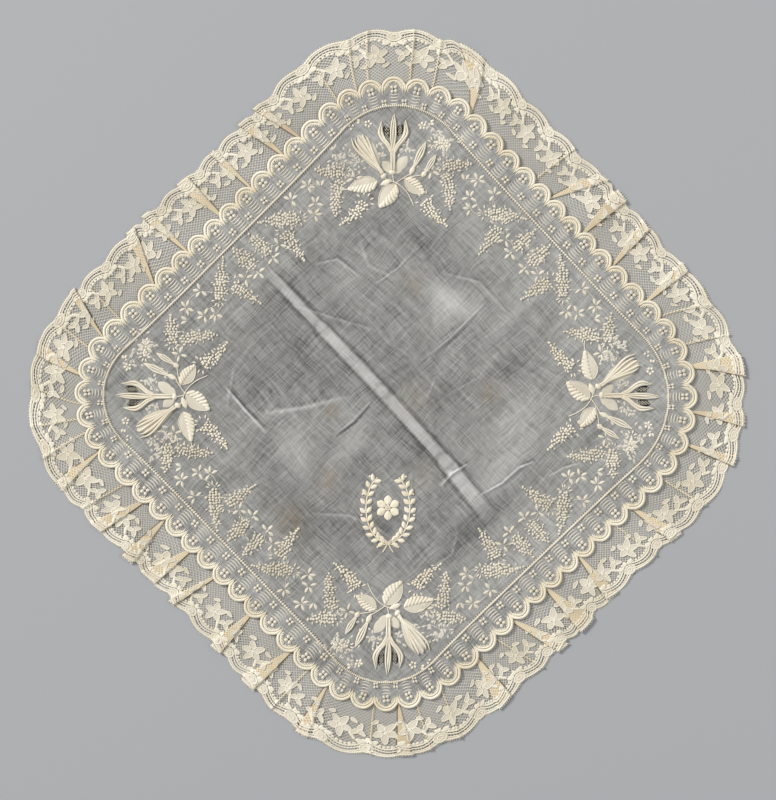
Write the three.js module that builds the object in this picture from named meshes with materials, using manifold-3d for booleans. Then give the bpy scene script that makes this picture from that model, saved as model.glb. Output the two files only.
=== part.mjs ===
// A lace handkerchief lying face up: a linen centre with a scalloped edge, and a frill of
// lace all round it, pressed down in pleats. Millimetres, +Z up. Both pieces rest on z = 0.
//
// Places along the linen's edge are given as s, in mm anticlockwise from the start of the
// south-east corner. Distances outward from that edge are given as v, in mm.
import * as THREE from 'three'
import { mergeVertices } from 'three/addons/utils/BufferGeometryUtils.js'
import Module from 'manifold-3d'

// ---------------------------------------------------------------- sizes
const CLOTH = 1.0              // thickness of every layer of cloth
const LAYER_GAP = 0.3          // air between the layers of a pleat
const SEAM_GAP = 0.85          // the frill's inner edge stands off the scallops, measured along v
const PLEAT_SEAM_GAP = 1.6     // the same where a pleat's layers meet the scallops
const SCALLOPS_A_SIDE = 19     // from the middle of one corner to the middle of the next
const SCALLOP_DEPTH = 5.2
const SCALLOP_SPREAD = 0.085   // how much wider the scallops are at a corner than midway
const FRILL_WIDTH = 31.4
const FRILL_WAVE = 0.9         // slow change of the frill's width
const LACE_REPEAT = 25         // one arc of the lace's own edge
const LACE_ARC_DEPTH = 2.2

// The linen's edge is the tight loop round these four circles.
const CORNERS = [
  { name: 'south-east', x: 83.7, y: -85.6, r: 84.7, middle: 69.5 },
  { name: 'north-east', x: 102.4, y: 94.0, r: 72.1, middle: 373.7 },
  { name: 'north-west', x: -100.1, y: 100.1, r: 65.5, middle: 679.4 },
  { name: 'south-west', x: -100.6, y: -97.8, r: 68.1, middle: 985.6 },
]

// Pleats of the frill. outer and inner are their places s at the frill's two edges, width and
// root their overlaps there. edge tells which end of the pleat is the free fold on top.
const PLEATS = [
  { outer: 37.0, inner: 36.4, width: 4.0, root: 1.2, edge: 'start' },
  { outer: 57.5, inner: 58.9, width: 5.3, root: 1.2, edge: 'start' },
  { outer: 84.0, inner: 90.3, width: 9.3, root: 2.0, edge: 'start' },
  { outer: 142.9, inner: 143.5, width: 6.6, root: 1.2, edge: 'start' },
  { outer: 180.6, inner: 176.0, width: 6.6, root: 1.2, edge: 'start' },
  { outer: 206.0, inner: 205.1, width: 9.0, root: 1.2, edge: 'start' },
  { outer: 224.2, inner: 238.1, width: 6.6, root: 1.2, edge: 'end' },
  { outer: 336.0, inner: 314.0, width: 11.2, root: 2.0, edge: 'end' },
  { outer: 457.0, inner: 451.0, width: 5.3, root: 1.2, edge: 'end' },
  { outer: 470.5, inner: 467.0, width: 7.0, root: 1.2, edge: 'end' },
  { outer: 498.8, inner: 497.5, width: 4.0, root: 1.2, edge: 'end' },
  { outer: 526.2, inner: 524.0, width: 8.6, root: 1.2, edge: 'start' },
  { outer: 559.0, inner: 557.0, width: 5.3, root: 1.2, edge: 'end' },
  { outer: 573.5, inner: 588.1, width: 6.6, root: 1.2, edge: 'start' },
  { outer: 628.1, inner: 636.4, width: 3.5, root: 1.2, edge: 'start' },
  { outer: 659.2, inner: 668.1, width: 6.0, root: 1.2, edge: 'end' },
  { outer: 725.3, inner: 723.7, width: 4.6, root: 1.2, edge: 'start' },
  { outer: 759.5, inner: 769.3, width: 8.0, root: 1.2, edge: 'end' },
  { outer: 788.2, inner: 786.5, width: 7.5, root: 1.2, edge: 'start' },
  { outer: 807.5, inner: 813.7, width: 10.0, root: 1.2, edge: 'end' },
  { outer: 829.2, inner: 838.1, width: 4.6, root: 1.2, edge: 'end' },
  { outer: 871.9, inner: 871.2, width: 8.0, root: 1.2, edge: 'end' },
  { outer: 903.3, inner: 907.6, width: 9.9, root: 1.2, edge: 'end' },
  { outer: 944.6, inner: 940.7, width: 5.3, root: 1.2, edge: 'start' },
  { outer: 993.6, inner: 994.2, width: 6.6, root: 1.2, edge: 'start' },
  { outer: 1051.8, inner: 1058.4, width: 10.6, root: 1.2, edge: 'end' },
  { outer: 1103.7, inner: 1091.5, width: 8.0, root: 2.0, edge: 'start' },
  { outer: 1125.5, inner: 1122.6, width: 11.0, root: 1.2, edge: 'start' },
  { outer: 1150.3, inner: 1153.0, width: 7.9, root: 1.2, edge: 'start' },
  { outer: 1208.5, inner: 1200.0, width: 8.6, root: 1.2, edge: 'start' },
]

// Creases of the frill: soft ridges that run from one edge to the other.
const CREASES = [
  { outer: 12.2, inner: 7.9 },
  { outer: 100.0, inner: 106.0 },
  { outer: 115.8, inner: 131.0 },
  { outer: 250.0, inner: 253.3 },
  { outer: 350.6, inner: 346.0 },
  { outer: 363.5, inner: 362.5 },
  { outer: 385.0, inner: 391.6 },
  { outer: 394.5, inner: 400.5 },
  { outer: 414.7, inner: 415.4 },
  { outer: 619.2, inner: 619.8 },
  { outer: 644.5, inner: 648.5 },
  { outer: 676.0, inner: 688.0 },
  { outer: 695.9, inner: 697.5 },
  { outer: 711.1, inner: 707.5 },
  { outer: 743.2, inner: 752.5 },
  { outer: 925.5, inner: 924.1 },
  { outer: 977.7, inner: 977.0 },
  { outer: 1006.1, inner: 1006.5 },
  { outer: 1020.4, inner: 1026.0 },
  { outer: 1084.9, inner: 1075.0 },
  { outer: 1190.7, inner: 1184.1 },
]

// Folds of the linen that still stand up, from one end to the other.
const LINEN_FOLDS = [
  { x1: 1.9, y1: 118.8, x2: 0.9, y2: 62.7, width: 8.0, crest: 3.6, height: 1.5 },
  { x1: 0.9, y1: 62.7, x2: -0.4, y2: 5.0, width: 8.0, crest: 3.6, height: 1.5 },
  { x1: -0.4, y1: 5.0, x2: -3.7, y2: -57.1, width: 8.0, crest: 3.6, height: 1.5 },
  { x1: -3.7, y1: -57.1, x2: -9.4, y2: -106.6, width: 7.0, crest: 3.0, height: 1.2 },
  { x1: -42.6, y1: 5.1, x2: -11.2, y2: 3.7, width: 3.4, crest: 0.8, height: 0.8 },
  { x1: 47.7, y1: 58.0, x2: 66.4, y2: 55.0, width: 3.0, crest: 0.8, height: 0.7 },
  { x1: -3.0, y1: 88.0, x2: 39.3, y2: -0.5, width: 3.0, crest: 0.8, height: 0.6 },
  { x1: -66.0, y1: 47.2, x2: -73.5, y2: 19.0, width: 3.0, crest: 0.8, height: 0.6 },
]

// The raised line of cord on the linen, inside the scallops.
const CORD_LINE = { inset: 21.8, cornerInset: 19.0, halfWidth: 0.7, height: 0.55 }

// One corner's spray of crocuses. a runs across the corner and o outward from the middle of the
// cloth. Each petal or leaf runs from its base to its tip; widest is the place of its largest
// half width, as a share of its length.
const SPRAY = [
  { part: 'left petal', a1: -1.2, o1: 154.5, a2: -7.3, o2: 174.0, half: 2.6, widest: 0.55, height: 0.55 },
  { part: 'right petal', a1: -0.2, o1: 154.5, a2: 7.9, o2: 176.0, half: 2.6, widest: 0.55, height: 0.55 },
  { part: 'middle petal', a1: -0.7, o1: 154.0, a2: 0.7, o2: 178.6, half: 2.0, widest: 0.6, height: 0.7 },
  { part: 'flower tube', a1: -0.7, o1: 140.8, a2: -0.7, o2: 158.8, half: 1.6, widest: 0.4, height: 0.6 },
  { part: 'closed flower', a1: -6.6, o1: 138.3, a2: -24.0, o2: 164.5, half: 5.2, widest: 0.72, height: 0.6 },
  { part: 'bud', a1: 11.2, o1: 140.2, a2: 21.8, o2: 160.7, half: 2.4, widest: 0.65, height: 0.5 },
  { part: 'small bud', a1: 19.8, o1: 139.6, a2: 28.4, o2: 152.8, half: 2.0, widest: 0.6, height: 0.5 },
  { part: 'left leaf', a1: -10.6, o1: 134.5, a2: -33.0, o2: 129.5, half: 5.0, widest: 0.4, height: 0.6 },
  { part: 'lower leaf', a1: 1.8, o1: 133.0, a2: -8.6, o2: 118.4, half: 6.0, widest: 0.45, height: 0.6 },
  { part: 'right leaf', a1: 7.9, o1: 136.3, a2: 20.5, o2: 127.0, half: 4.6, widest: 0.45, height: 0.6 },
]

// Where each corner's spray stands: the way outward, in degrees, and how far it is moved.
const SPRAY_PLACES = [
  { corner: 'south-east', way: -45, a: 0, o: 0 },
  { corner: 'north-east', way: 45, a: 3.5, o: 6.5 },
  { corner: 'north-west', way: 135, a: 0, o: 0 },
  { corner: 'south-west', way: 225, a: 0, o: 4.5 },
]

// ---------------------------------------------------------------- the linen's edge line
// Arcs and straight runs of the loop round the four circles, each with its start s.
function edgeRuns() {
  const turns = CORNERS.map((c, i) => {
    const next = CORNERS[(i + 1) % CORNERS.length]
    const dx = next.x - c.x
    const dy = next.y - c.y
    return Math.atan2(dy, dx) - Math.acos((c.r - next.r) / Math.hypot(dx, dy))
  })
  const runs = []
  let s = 0
  CORNERS.forEach((c, i) => {
    const next = CORNERS[(i + 1) % CORNERS.length]
    const from = turns[(i + CORNERS.length - 1) % CORNERS.length]
    let to = turns[i]
    while (to < from) to += 2 * Math.PI
    const arc = (to - from) * c.r
    runs.push({ kind: 'arc', s, length: arc, c, from })
    s += arc
    const nx = Math.cos(to)
    const ny = Math.sin(to)
    const x1 = c.x + c.r * nx
    const y1 = c.y + c.r * ny
    const length = Math.hypot(next.x + next.r * nx - x1, next.y + next.r * ny - y1)
    runs.push({ kind: 'straight', s, length, x1, y1, nx, ny })
    s += length
  })
  return { runs, total: s }
}

const EDGE = edgeRuns()

// The point at distance v outward from place s on the linen's edge line.
function atEdge(s, v) {
  const place = ((s % EDGE.total) + EDGE.total) % EDGE.total
  const run = EDGE.runs.find((r) => place < r.s + r.length) ?? EDGE.runs.at(-1)
  const along = place - run.s
  if (run.kind === 'arc') {
    const turn = run.from + along / run.c.r
    const reach = run.c.r + v
    return [run.c.x + reach * Math.cos(turn), run.c.y + reach * Math.sin(turn)]
  }
  const x = run.x1 - run.ny * along + run.nx * v
  const y = run.y1 + run.nx * along + run.ny * v
  return [x, y]
}

// ---------------------------------------------------------------- scallops
// Middles of all scallops, from the middle of one corner to the middle of the next.
function scallopMiddles() {
  const middles = []
  CORNERS.forEach((c, i) => {
    const next = CORNERS[(i + 1) % CORNERS.length]
    const end = next.middle > c.middle ? next.middle : next.middle + EDGE.total
    for (let k = 0; k < SCALLOPS_A_SIDE; k++) {
      const t = k / SCALLOPS_A_SIDE
      const share = t + SCALLOP_SPREAD * Math.sin(2 * Math.PI * t) / (2 * Math.PI)
      middles.push(c.middle + (end - c.middle) * share)
    }
  })
  return middles
}

const MIDDLES = scallopMiddles()
const VALLEYS = MIDDLES.map((m, i) => {
  const next = MIDDLES[(i + 1) % MIDDLES.length] + (i + 1 < MIDDLES.length ? 0 : EDGE.total)
  return (m + next) / 2
})

// How far out the scalloped edge is at place s: 0 at a tip, -SCALLOP_DEPTH in a valley.
function scallopEdge(s) {
  let place = s
  while (place < VALLEYS[0]) place += EDGE.total
  while (place >= VALLEYS[0] + EDGE.total) place -= EDGE.total
  let i = VALLEYS.findIndex((valley) => valley > place)
  if (i < 0) i = VALLEYS.length
  const start = VALLEYS[i - 1]
  const end = i < VALLEYS.length ? VALLEYS[i] : VALLEYS[0] + EDGE.total
  const t = Math.abs((2 * (place - start)) / (end - start) - 1)
  return -SCALLOP_DEPTH * t ** 2.4
}

// ---------------------------------------------------------------- the frill
// Middle line of a pleat across its three layers, from its lead-in to its foot.
function pleatLine(width, edge) {
  const z1 = CLOTH / 2
  const z2 = z1 + CLOTH + LAYER_GAP
  const z3 = z2 + CLOTH + LAYER_GAP
  const a = -width / 2
  const b = width / 2
  const line = [
    [a - 1.2, z1], [b, z1], [b, z2], [a, z2], [a, z3], [b + 0.9, z3], [b + 3.9, z1],
  ]
  return edge === 'start' ? line : line.map(([s, z]) => [-s, z]).reverse()
}

function creaseLine(height) {
  const z = CLOTH / 2
  return [[-1.6, z], [0, z + height], [1.6, z]]
}

// How far out a distance v is, as a share from the bottom of the scallops to the outer edge.
function shareOut(v) {
  return (v + SCALLOP_DEPTH) / (FRILL_WIDTH + SCALLOP_DEPTH)
}

// All pleats and creases in order, each with its middle line at a distance v outward.
function foldsInOrder() {
  const pleats = PLEATS.map((p) => ({
    ...p,
    line: (v) => pleatLine(p.root + (p.width - p.root) * shareOut(v), p.edge),
  }))
  const creases = CREASES.map((c) => ({
    ...c,
    line: (v) => creaseLine(0.35 + 0.65 * shareOut(v)),
  }))
  return [...pleats, ...creases].sort((p, q) => p.inner - q.inner)
}

// Places s in a flat stretch of the frill's inner edge that follow the scallops.
function flatPlaces(from, to) {
  const places = []
  MIDDLES.forEach((middle, i) => {
    const valley = VALLEYS[i]
    const half = valley - middle
    for (const s of [middle, middle + 0.55 * half, valley, valley + 0.45 * half]) {
      for (const turn of [-EDGE.total, 0, EDGE.total]) {
        if (s + turn > from + 0.9 && s + turn < to - 0.9) places.push(s + turn)
      }
    }
  })
  return places.sort((p, q) => p - q)
}

const FOLDS = foldsInOrder()

// The frill's middle line at distance v: [s, z] points all the way round, equally many at any v,
// each with the gap that it keeps to the linen.
function rowLine(v) {
  const line = []
  const placeOf = (fold, d) => fold.inner + (fold.outer - fold.inner) * shareOut(d)
  FOLDS.forEach((fold, i) => {
    const next = FOLDS[(i + 1) % FOLDS.length]
    const turn = i + 1 < FOLDS.length ? 0 : EDGE.total
    const endAt = (d) => placeOf(fold, d) + fold.line(d).at(-1)[0]
    const startAt = (d) => placeOf(next, d) + turn + next.line(d)[0][0]
    if (startAt(v) < endAt(v) + 0.3) throw new Error(`folds at ${fold.outer} and ${next.outer} run into each other`)
    const seam = fold.width ? PLEAT_SEAM_GAP : SEAM_GAP
    line.push(...fold.line(v).map(([s, z]) => [s + placeOf(fold, v), z, seam]))
    for (const s of flatPlaces(endAt(0), startAt(0))) {
      const part = (s - endAt(0)) / (startAt(0) - endAt(0))
      line.push([endAt(v) + part * (startAt(v) - endAt(v)), CLOTH / 2, SEAM_GAP])
    }
  })
  return line
}

// The line moved sideways by half the cloth, with its corners kept sharp.
function offsetLine(line, by) {
  const n = line.length
  const step = (i, j) => {
    const [s1, z1] = line[(i + n) % n]
    const [s2, z2] = line[(j + n) % n]
    let ds = s2 - s1
    if (ds < -EDGE.total / 2) ds += EDGE.total
    const length = Math.hypot(ds, z2 - z1)
    return [-(z2 - z1) / length, ds / length]
  }
  return line.map(([s, z, seam], i) => {
    const [a1, b1] = step(i - 1, i)
    const [a2, b2] = step(i, i + 1)
    const k = by / (1 + a1 * a2 + b1 * b2)
    return [s + k * (a1 + a2), z + k * (b1 + b2), seam]
  })
}

// How far out the lace's own edge is, at a length along the lace.
function laceEdge(along, s) {
  const wave = FRILL_WAVE * Math.sin((2 * Math.PI * 7 * s) / EDGE.total)
  const arc = Math.abs(Math.sin((Math.PI * along) / LACE_REPEAT))
  return FRILL_WIDTH + wave - LACE_ARC_DEPTH * (1 - arc)
}

// Length along the lace at each point of a row, in whole repeats all round.
function lengthsAlong(line) {
  const lengths = [0]
  for (let i = 1; i < line.length; i++) {
    const ds = line[i][0] - line[i - 1][0]
    const dz = line[i][1] - line[i - 1][1]
    lengths.push(lengths[i - 1] + Math.hypot(ds, dz))
  }
  const all = lengths.at(-1) + line[0][0] + EDGE.total - line.at(-1)[0]
  const whole = Math.round(all / LACE_REPEAT) * LACE_REPEAT
  return lengths.map((length) => (length * whole) / all)
}

// Where each column of the frill meets the linen: [s, v] on the scalloped edge.
function seamPoints() {
  const atTips = rowLine(0)
  const atValleys = rowLine(-SCALLOP_DEPTH)
  return atTips.map(([s], i) => {
    const v = scallopEdge(s)
    return [s + ((s - atValleys[i][0]) * v) / SCALLOP_DEPTH, v]
  })
}

// The frill's two rows of [s, v, z] points, each an upper and a lower one: along the scallops
// and along the lace's own edge. Every layer is straight from one to the other.
function frillRows() {
  const sidesAt = (v) => {
    const line = rowLine(v)
    return [offsetLine(line, CLOTH / 2), offsetLine(line, -CLOTH / 2)]
  }
  const near = sidesAt(0)
  const far = sidesAt(FRILL_WIDTH)
  const along = lengthsAlong(rowLine(FRILL_WIDTH))
  const pointAt = (v, i, side) => {
    const share = v / FRILL_WIDTH
    const [s1, z1] = near[side][i]
    const [s2, z2] = far[side][i]
    return [s1 + (s2 - s1) * share, v, z1 + (z2 - z1) * share]
  }
  const innerAt = (i, side) => scallopEdge(near[side][i][0]) + near[side][i][2]
  const outerAt = (i, side) => laceEdge(along[i], far[side][i][0])
  return [innerAt, outerAt].map((vAt) => along.map((_, i) => [0, 1].map((side) => pointAt(vAt(i, side), i, side))))
}

function frillGeometry() {
  const rows = frillRows()
  const columns = rows[0].length
  const points = []
  const vertex = (row, column, side) => 2 * (row * columns + (column % columns)) + side
  for (const row of rows) {
    for (const [s, v, z] of row.flat()) points.push(...atEdge(s, v), z)
  }
  const faces = []
  const quad = (a, b, c, d) => faces.push(a, b, c, a, c, d)
  for (let i = 0; i < columns; i++) {
    for (let row = 0; row + 1 < rows.length; row++) {
      quad(vertex(row, i, 0), vertex(row + 1, i, 0), vertex(row + 1, i + 1, 0), vertex(row, i + 1, 0))
      quad(vertex(row, i, 1), vertex(row, i + 1, 1), vertex(row + 1, i + 1, 1), vertex(row + 1, i, 1))
    }
    const last = rows.length - 1
    quad(vertex(0, i, 1), vertex(0, i, 0), vertex(0, i + 1, 0), vertex(0, i + 1, 1))
    quad(vertex(last, i, 0), vertex(last, i, 1), vertex(last, i + 1, 1), vertex(last, i + 1, 0))
  }
  return bodyOf(points, faces)
}

function bodyOf(points, faces) {
  const geometry = new THREE.BufferGeometry()
  geometry.setAttribute('position', new THREE.Float32BufferAttribute(points, 3))
  geometry.setIndex(faces)
  return geometry
}

// ---------------------------------------------------------------- the linen
// The scalloped slab. Its edge has its points where the frill's columns meet it.
function linenSlab() {
  const seam = seamPoints().sort((p, q) => p[0] - q[0])
  const apart = seam.filter(([s], i) => i === 0 || s - seam[i - 1][0] > 0.25)
  const outline = apart.map(([s, v]) => atEdge(s, v))
  const shape = new THREE.Shape(outline.map(([x, y]) => new THREE.Vector2(x, y)))
  return new THREE.ExtrudeGeometry(shape, { depth: CLOTH, bevelEnabled: false })
}

// A ridge between two points: its section is wide at the foot, narrower at the crest.
function ridgeBody({ x1, y1, x2, y2, width, crest, height }, foot) {
  const length = Math.hypot(x2 - x1, y2 - y1)
  const ux = (x2 - x1) / length
  const uy = (y2 - y1) / length
  const over = Math.min(width / 2, 3)
  const points = []
  const add = (along, across, z) => points.push(x1 + ux * along - uy * across, y1 + uy * along + ux * across, z)
  for (const [along, wide, top] of [[-over, 0.35, 0.25], [0, 1, 1], [length, 1, 1], [length + over, 0.35, 0.25]]) {
    add(along, -wide * width / 2, foot - 0.4)
    add(along, wide * width / 2, foot - 0.4)
    add(along, wide * width / 2, foot)
    add(along, wide * crest / 2, foot + height * top)
    add(along, -wide * crest / 2, foot + height * top)
    add(along, -wide * width / 2, foot)
  }
  return loft(points, 6)
}

// Joins rings of equal size, each listed anticlockwise as seen from the end of the loft.
function loft(points, ring) {
  const faces = []
  const rings = points.length / 3 / ring
  for (let r = 0; r + 1 < rings; r++) {
    for (let k = 0; k < ring; k++) {
      const a = r * ring + k
      const b = r * ring + ((k + 1) % ring)
      faces.push(a, b, b + ring, a, b + ring, a + ring)
    }
  }
  for (let k = 1; k + 1 < ring; k++) {
    faces.push(0, k + 1, k)
    const end = (rings - 1) * ring
    faces.push(end, end + k, end + k + 1)
  }
  return bodyOf(points, faces)
}

// A petal or leaf of raised work: domed, pointed at both ends.
function petalBody(petal, place) {
  const way = THREE.MathUtils.degToRad(place.way)
  const foot = CLOTH - 0.3
  const spot = (a, o) => {
    const across = a + place.a
    const out = o + place.o
    const x = out * Math.cos(way) + across * Math.sin(way)
    const y = out * Math.sin(way) - across * Math.cos(way)
    return [x, y]
  }
  const da = petal.a2 - petal.a1
  const dout = petal.o2 - petal.o1
  const length = Math.hypot(da, dout)
  const points = []
  for (const t of [0.02, 0.18, 0.4, 0.62, 0.82, 0.98]) {
    const nearer = t < petal.widest ? t / petal.widest : (1 - t) / (1 - petal.widest)
    const half = petal.half * Math.sin((Math.PI / 2) * nearer) ** 0.8
    const high = CLOTH + petal.height * (0.3 + 0.7 * Math.min(1, 1.6 * nearer))
    const side = (k) => spot(petal.a1 + da * t + (k * half * dout) / length, petal.o1 + dout * t - (k * half * da) / length)
    const [lx, ly] = side(-1)
    const [mx, my] = side(0)
    const [rx, ry] = side(1)
    points.push(lx, ly, foot, lx, ly, CLOTH + 0.1, mx, my, high, rx, ry, CLOTH + 0.1, rx, ry, foot)
  }
  return loft(points, 5)
}

// The raised line of cord, a closed ring with a three-sided section.
function cordBody() {
  const steps = []
  EDGE.runs.forEach((run) => {
    const count = run.kind === 'arc' ? 14 : 8
    for (let k = 0; k < count; k++) steps.push(run.s + (run.length * k) / count)
  })
  const points = []
  for (const s of steps) {
    const nearest = Math.min(...CORNERS.map((c) => {
      const away = Math.abs(s - c.middle) % EDGE.total
      return Math.min(away, EDGE.total - away)
    }))
    const atCorner = Math.exp(-((nearest / 55) ** 2))
    const v = -CORD_LINE.inset + (CORD_LINE.inset - CORD_LINE.cornerInset) * atCorner
    for (const [dv, z] of [[-1, CLOTH - 0.3], [0, CLOTH + CORD_LINE.height], [1, CLOTH - 0.3]]) {
      const [x, y] = atEdge(s, v + dv * CORD_LINE.halfWidth)
      points.push(x, y, z)
    }
  }
  const faces = []
  const n = steps.length
  for (let i = 0; i < n; i++) {
    for (let k = 0; k < 3; k++) {
      const a = i * 3 + k
      const b = i * 3 + ((k + 1) % 3)
      const c = ((i + 1) % n) * 3 + ((k + 1) % 3)
      const d = ((i + 1) % n) * 3 + k
      faces.push(a, b, c, a, c, d)
    }
  }
  return bodyOf(points, faces)
}

// ---------------------------------------------------------------- joining and cutting
const wasm = await Module()
wasm.setup()

function solidOf(geometry) {
  geometry.deleteAttribute('normal')
  geometry.deleteAttribute('uv')
  const merged = mergeVertices(geometry, 1e-4)
  const vertProperties = new Float32Array(merged.attributes.position.array)
  const triVerts = new Uint32Array(merged.index.array)
  return new wasm.Manifold(new wasm.Mesh({ numProp: 3, vertProperties, triVerts }))
}

function geometryOf(solid) {
  const mesh = solid.getMesh()
  return bodyOf(Array.from(mesh.vertProperties), Array.from(mesh.triVerts))
}

// The slab, raised on top and hollowed below at each fold, with the cord line and the sprays.
function linenGeometry() {
  let linen = solidOf(linenSlab())
  for (const fold of LINEN_FOLDS) linen = linen.add(solidOf(ridgeBody(fold, CLOTH)))
  for (const fold of LINEN_FOLDS) linen = linen.subtract(solidOf(ridgeBody(fold, 0)))
  linen = linen.add(solidOf(cordBody()))
  for (const place of SPRAY_PLACES) {
    for (const petal of SPRAY) linen = linen.add(solidOf(petalBody(petal, place)))
  }
  return geometryOf(linen)
}

// ---------------------------------------------------------------- the part
const linen = new THREE.Mesh(
  linenGeometry(),
  new THREE.MeshStandardMaterial({ color: 0xa9adb0, roughness: 0.9, metalness: 0 }),
)
linen.name = 'linen'

const frill = new THREE.Mesh(
  frillGeometry(),
  new THREE.MeshStandardMaterial({ color: 0xd9cbb0, roughness: 0.95, metalness: 0 }),
)
frill.name = 'lace_frill'

// The origin is under the middle of the whole handkerchief.
const handkerchief = new THREE.Group()
handkerchief.add(linen, frill)
const box = new THREE.Box3().setFromObject(handkerchief)
const middle = box.getCenter(new THREE.Vector3())
for (const mesh of [linen, frill]) mesh.geometry.translate(-middle.x, -middle.y, -box.min.z)

export default handkerchief
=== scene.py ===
"""Lace handkerchief: a linen centre with whitework, and a pleated lace frill, lying face up.

Lengths are worked out in mm in the outline's own axes, and turned into metres in the row frame
when a mesh is made. Places along the linen's edge are s, distances outward from it are v.
"""

import math
from functools import partialmethod

import bpy
import numpy as np
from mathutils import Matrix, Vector
from mathutils.geometry import delaunay_2d_cdt


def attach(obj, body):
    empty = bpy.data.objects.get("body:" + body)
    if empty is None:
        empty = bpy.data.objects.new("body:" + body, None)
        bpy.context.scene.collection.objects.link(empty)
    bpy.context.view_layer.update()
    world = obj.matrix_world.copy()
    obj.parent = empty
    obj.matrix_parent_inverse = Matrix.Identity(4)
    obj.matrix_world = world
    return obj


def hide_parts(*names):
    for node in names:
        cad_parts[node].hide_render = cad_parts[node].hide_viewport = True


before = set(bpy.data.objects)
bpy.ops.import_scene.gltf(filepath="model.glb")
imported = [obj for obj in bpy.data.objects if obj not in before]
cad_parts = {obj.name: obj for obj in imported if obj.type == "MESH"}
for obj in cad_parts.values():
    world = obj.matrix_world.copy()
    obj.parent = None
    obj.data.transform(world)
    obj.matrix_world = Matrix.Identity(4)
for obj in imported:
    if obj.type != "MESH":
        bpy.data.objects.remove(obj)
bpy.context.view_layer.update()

# ---- sizes, in mm
MM = 0.001
MIDDLE = (1.92, -1.77)  # the row frame's origin in the outline's axes
SCALLOPS_A_SIDE = 19
SCALLOP_DEPTH = 5.2
SCALLOP_SPREAD = 0.085
FRILL_WIDTH = 31.4
FRILL_WAVE = 0.9
LACE_REPEAT = 24.5
LACE_ARC_DEPTH = 2.8
LACE_UNDER = 6.6  # how far the lace runs under the linen's edge
LACE_ROWS = 30
LACE_STEP = 1.6  # between its columns where it lies flat
MID_FRILL = 19.0  # the lace is measured at this distance out, where its sprigs are
NET_LONG, NET_WIDE = 2.4, 2.1  # a mesh of the net, along the lace and across it
LINEN_Z = 1.15  # the flat linen's height
PX = 0.6615  # one unit of the sprays' own drawing grid
FLOWER_V = -8.2  # the flower in each scallop
SMALL_FLOWER_V = -16.9  # the one between two scallops
CORD_V = -21.8  # the corded line, and how far it bows out within reach of a corner
CORD_BOW = 2.8
CORNER_REACH = 55.0
FOLD_SPAN = (-108, 120)  # y where the pressed fold fades away, and over what lengths it does
FOLD_FADES = (22, 26)
BORDER_FROM = 136  # x or y where the linen's worked border begins
SEAT = 0.03  # thread work's height above the linen, and above the lace
LACE_SEAT = 0.04
PIN_HOLES = 680  # along the corded line
KNOT = 0.95  # the radius of a knot in the sprays
KNOT_PITCH = 2.2  # between two knots of a row, in radii
LEAN = 1.6  # how slanted the satin stitches of a leaf are
WREATH_MIDDLE = np.array([0.0, -74.0])

# x, y, r of the four circles that the linen's edge runs round, and s at each corner's middle
CORNERS = [
    (83.7, -85.6, 84.7, 69.5), (102.4, 94, 72.1, 373.7), (-100.1, 100.1, 65.5, 679.4),
    (-100.6, -97.8, 68.1, 985.6),
]

# outer place, inner place, outer width, inner width, and whether the free fold is at the start
PLEATS = [
    (37, 36.4, 4, 1.2, True), (57.5, 58.9, 5.3, 1.2, True), (84, 90.3, 9.3, 2, True),
    (142.9, 143.5, 6.6, 1.2, True), (180.6, 176, 6.6, 1.2, True), (206, 205.1, 9, 1.2, True),
    (224.2, 238.1, 6.6, 1.2, False), (336, 314, 11.2, 2, False), (457, 451, 5.3, 1.2, False),
    (470.5, 467, 7, 1.2, False), (498.8, 497.5, 4, 1.2, False), (526.2, 524, 8.6, 1.2, True),
    (559, 557, 5.3, 1.2, False), (573.5, 588.1, 6.6, 1.2, True), (628.1, 636.4, 3.5, 1.2, True),
    (659.2, 668.1, 6, 1.2, False), (725.3, 723.7, 4.6, 1.2, True), (759.5, 769.3, 8, 1.2, False),
    (788.2, 786.5, 7.5, 1.2, True), (807.5, 813.7, 10, 1.2, False), (829.2, 838.1, 4.6, 1.2, False),
    (871.9, 871.2, 8, 1.2, False), (903.3, 907.6, 9.9, 1.2, False), (944.6, 940.7, 5.3, 1.2, True),
    (993.6, 994.2, 6.6, 1.2, True), (1051.8, 1058.4, 10.6, 1.2, False),
    (1103.7, 1091.5, 8, 2, True), (1125.5, 1122.6, 11, 1.2, True), (1150.3, 1153, 7.9, 1.2, True),
    (1208.5, 1200, 8.6, 1.2, True),
]

# outer place, inner place of the frill's creases
CREASES = [
    (12.2, 7.9), (100, 106), (115.8, 131), (250, 253.3), (350.6, 346), (363.5, 362.5), (385, 391.6),
    (394.5, 400.5), (414.7, 415.4), (619.2, 619.8), (644.5, 648.5), (676, 688), (695.9, 697.5),
    (711.1, 707.5), (743.2, 752.5), (925.5, 924.1), (977.7, 977), (1006.1, 1006.5), (1020.4, 1026),
    (1084.9, 1075), (1190.7, 1184.1),
]

# x1, y1, x2, y2, width, height of the linen's folds
LINEN_FOLDS = [
    (1.9, 118.8, 0.9, 62.7, 6.6, 1.3), (0.9, 62.7, -0.4, 5, 8, 1.3), (-0.4, 5, -3.7, -57.1, 8, 1.3),
    (-3.7, -57.1, -9.4, -106.6, 9.6, 1.1),
]

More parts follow.
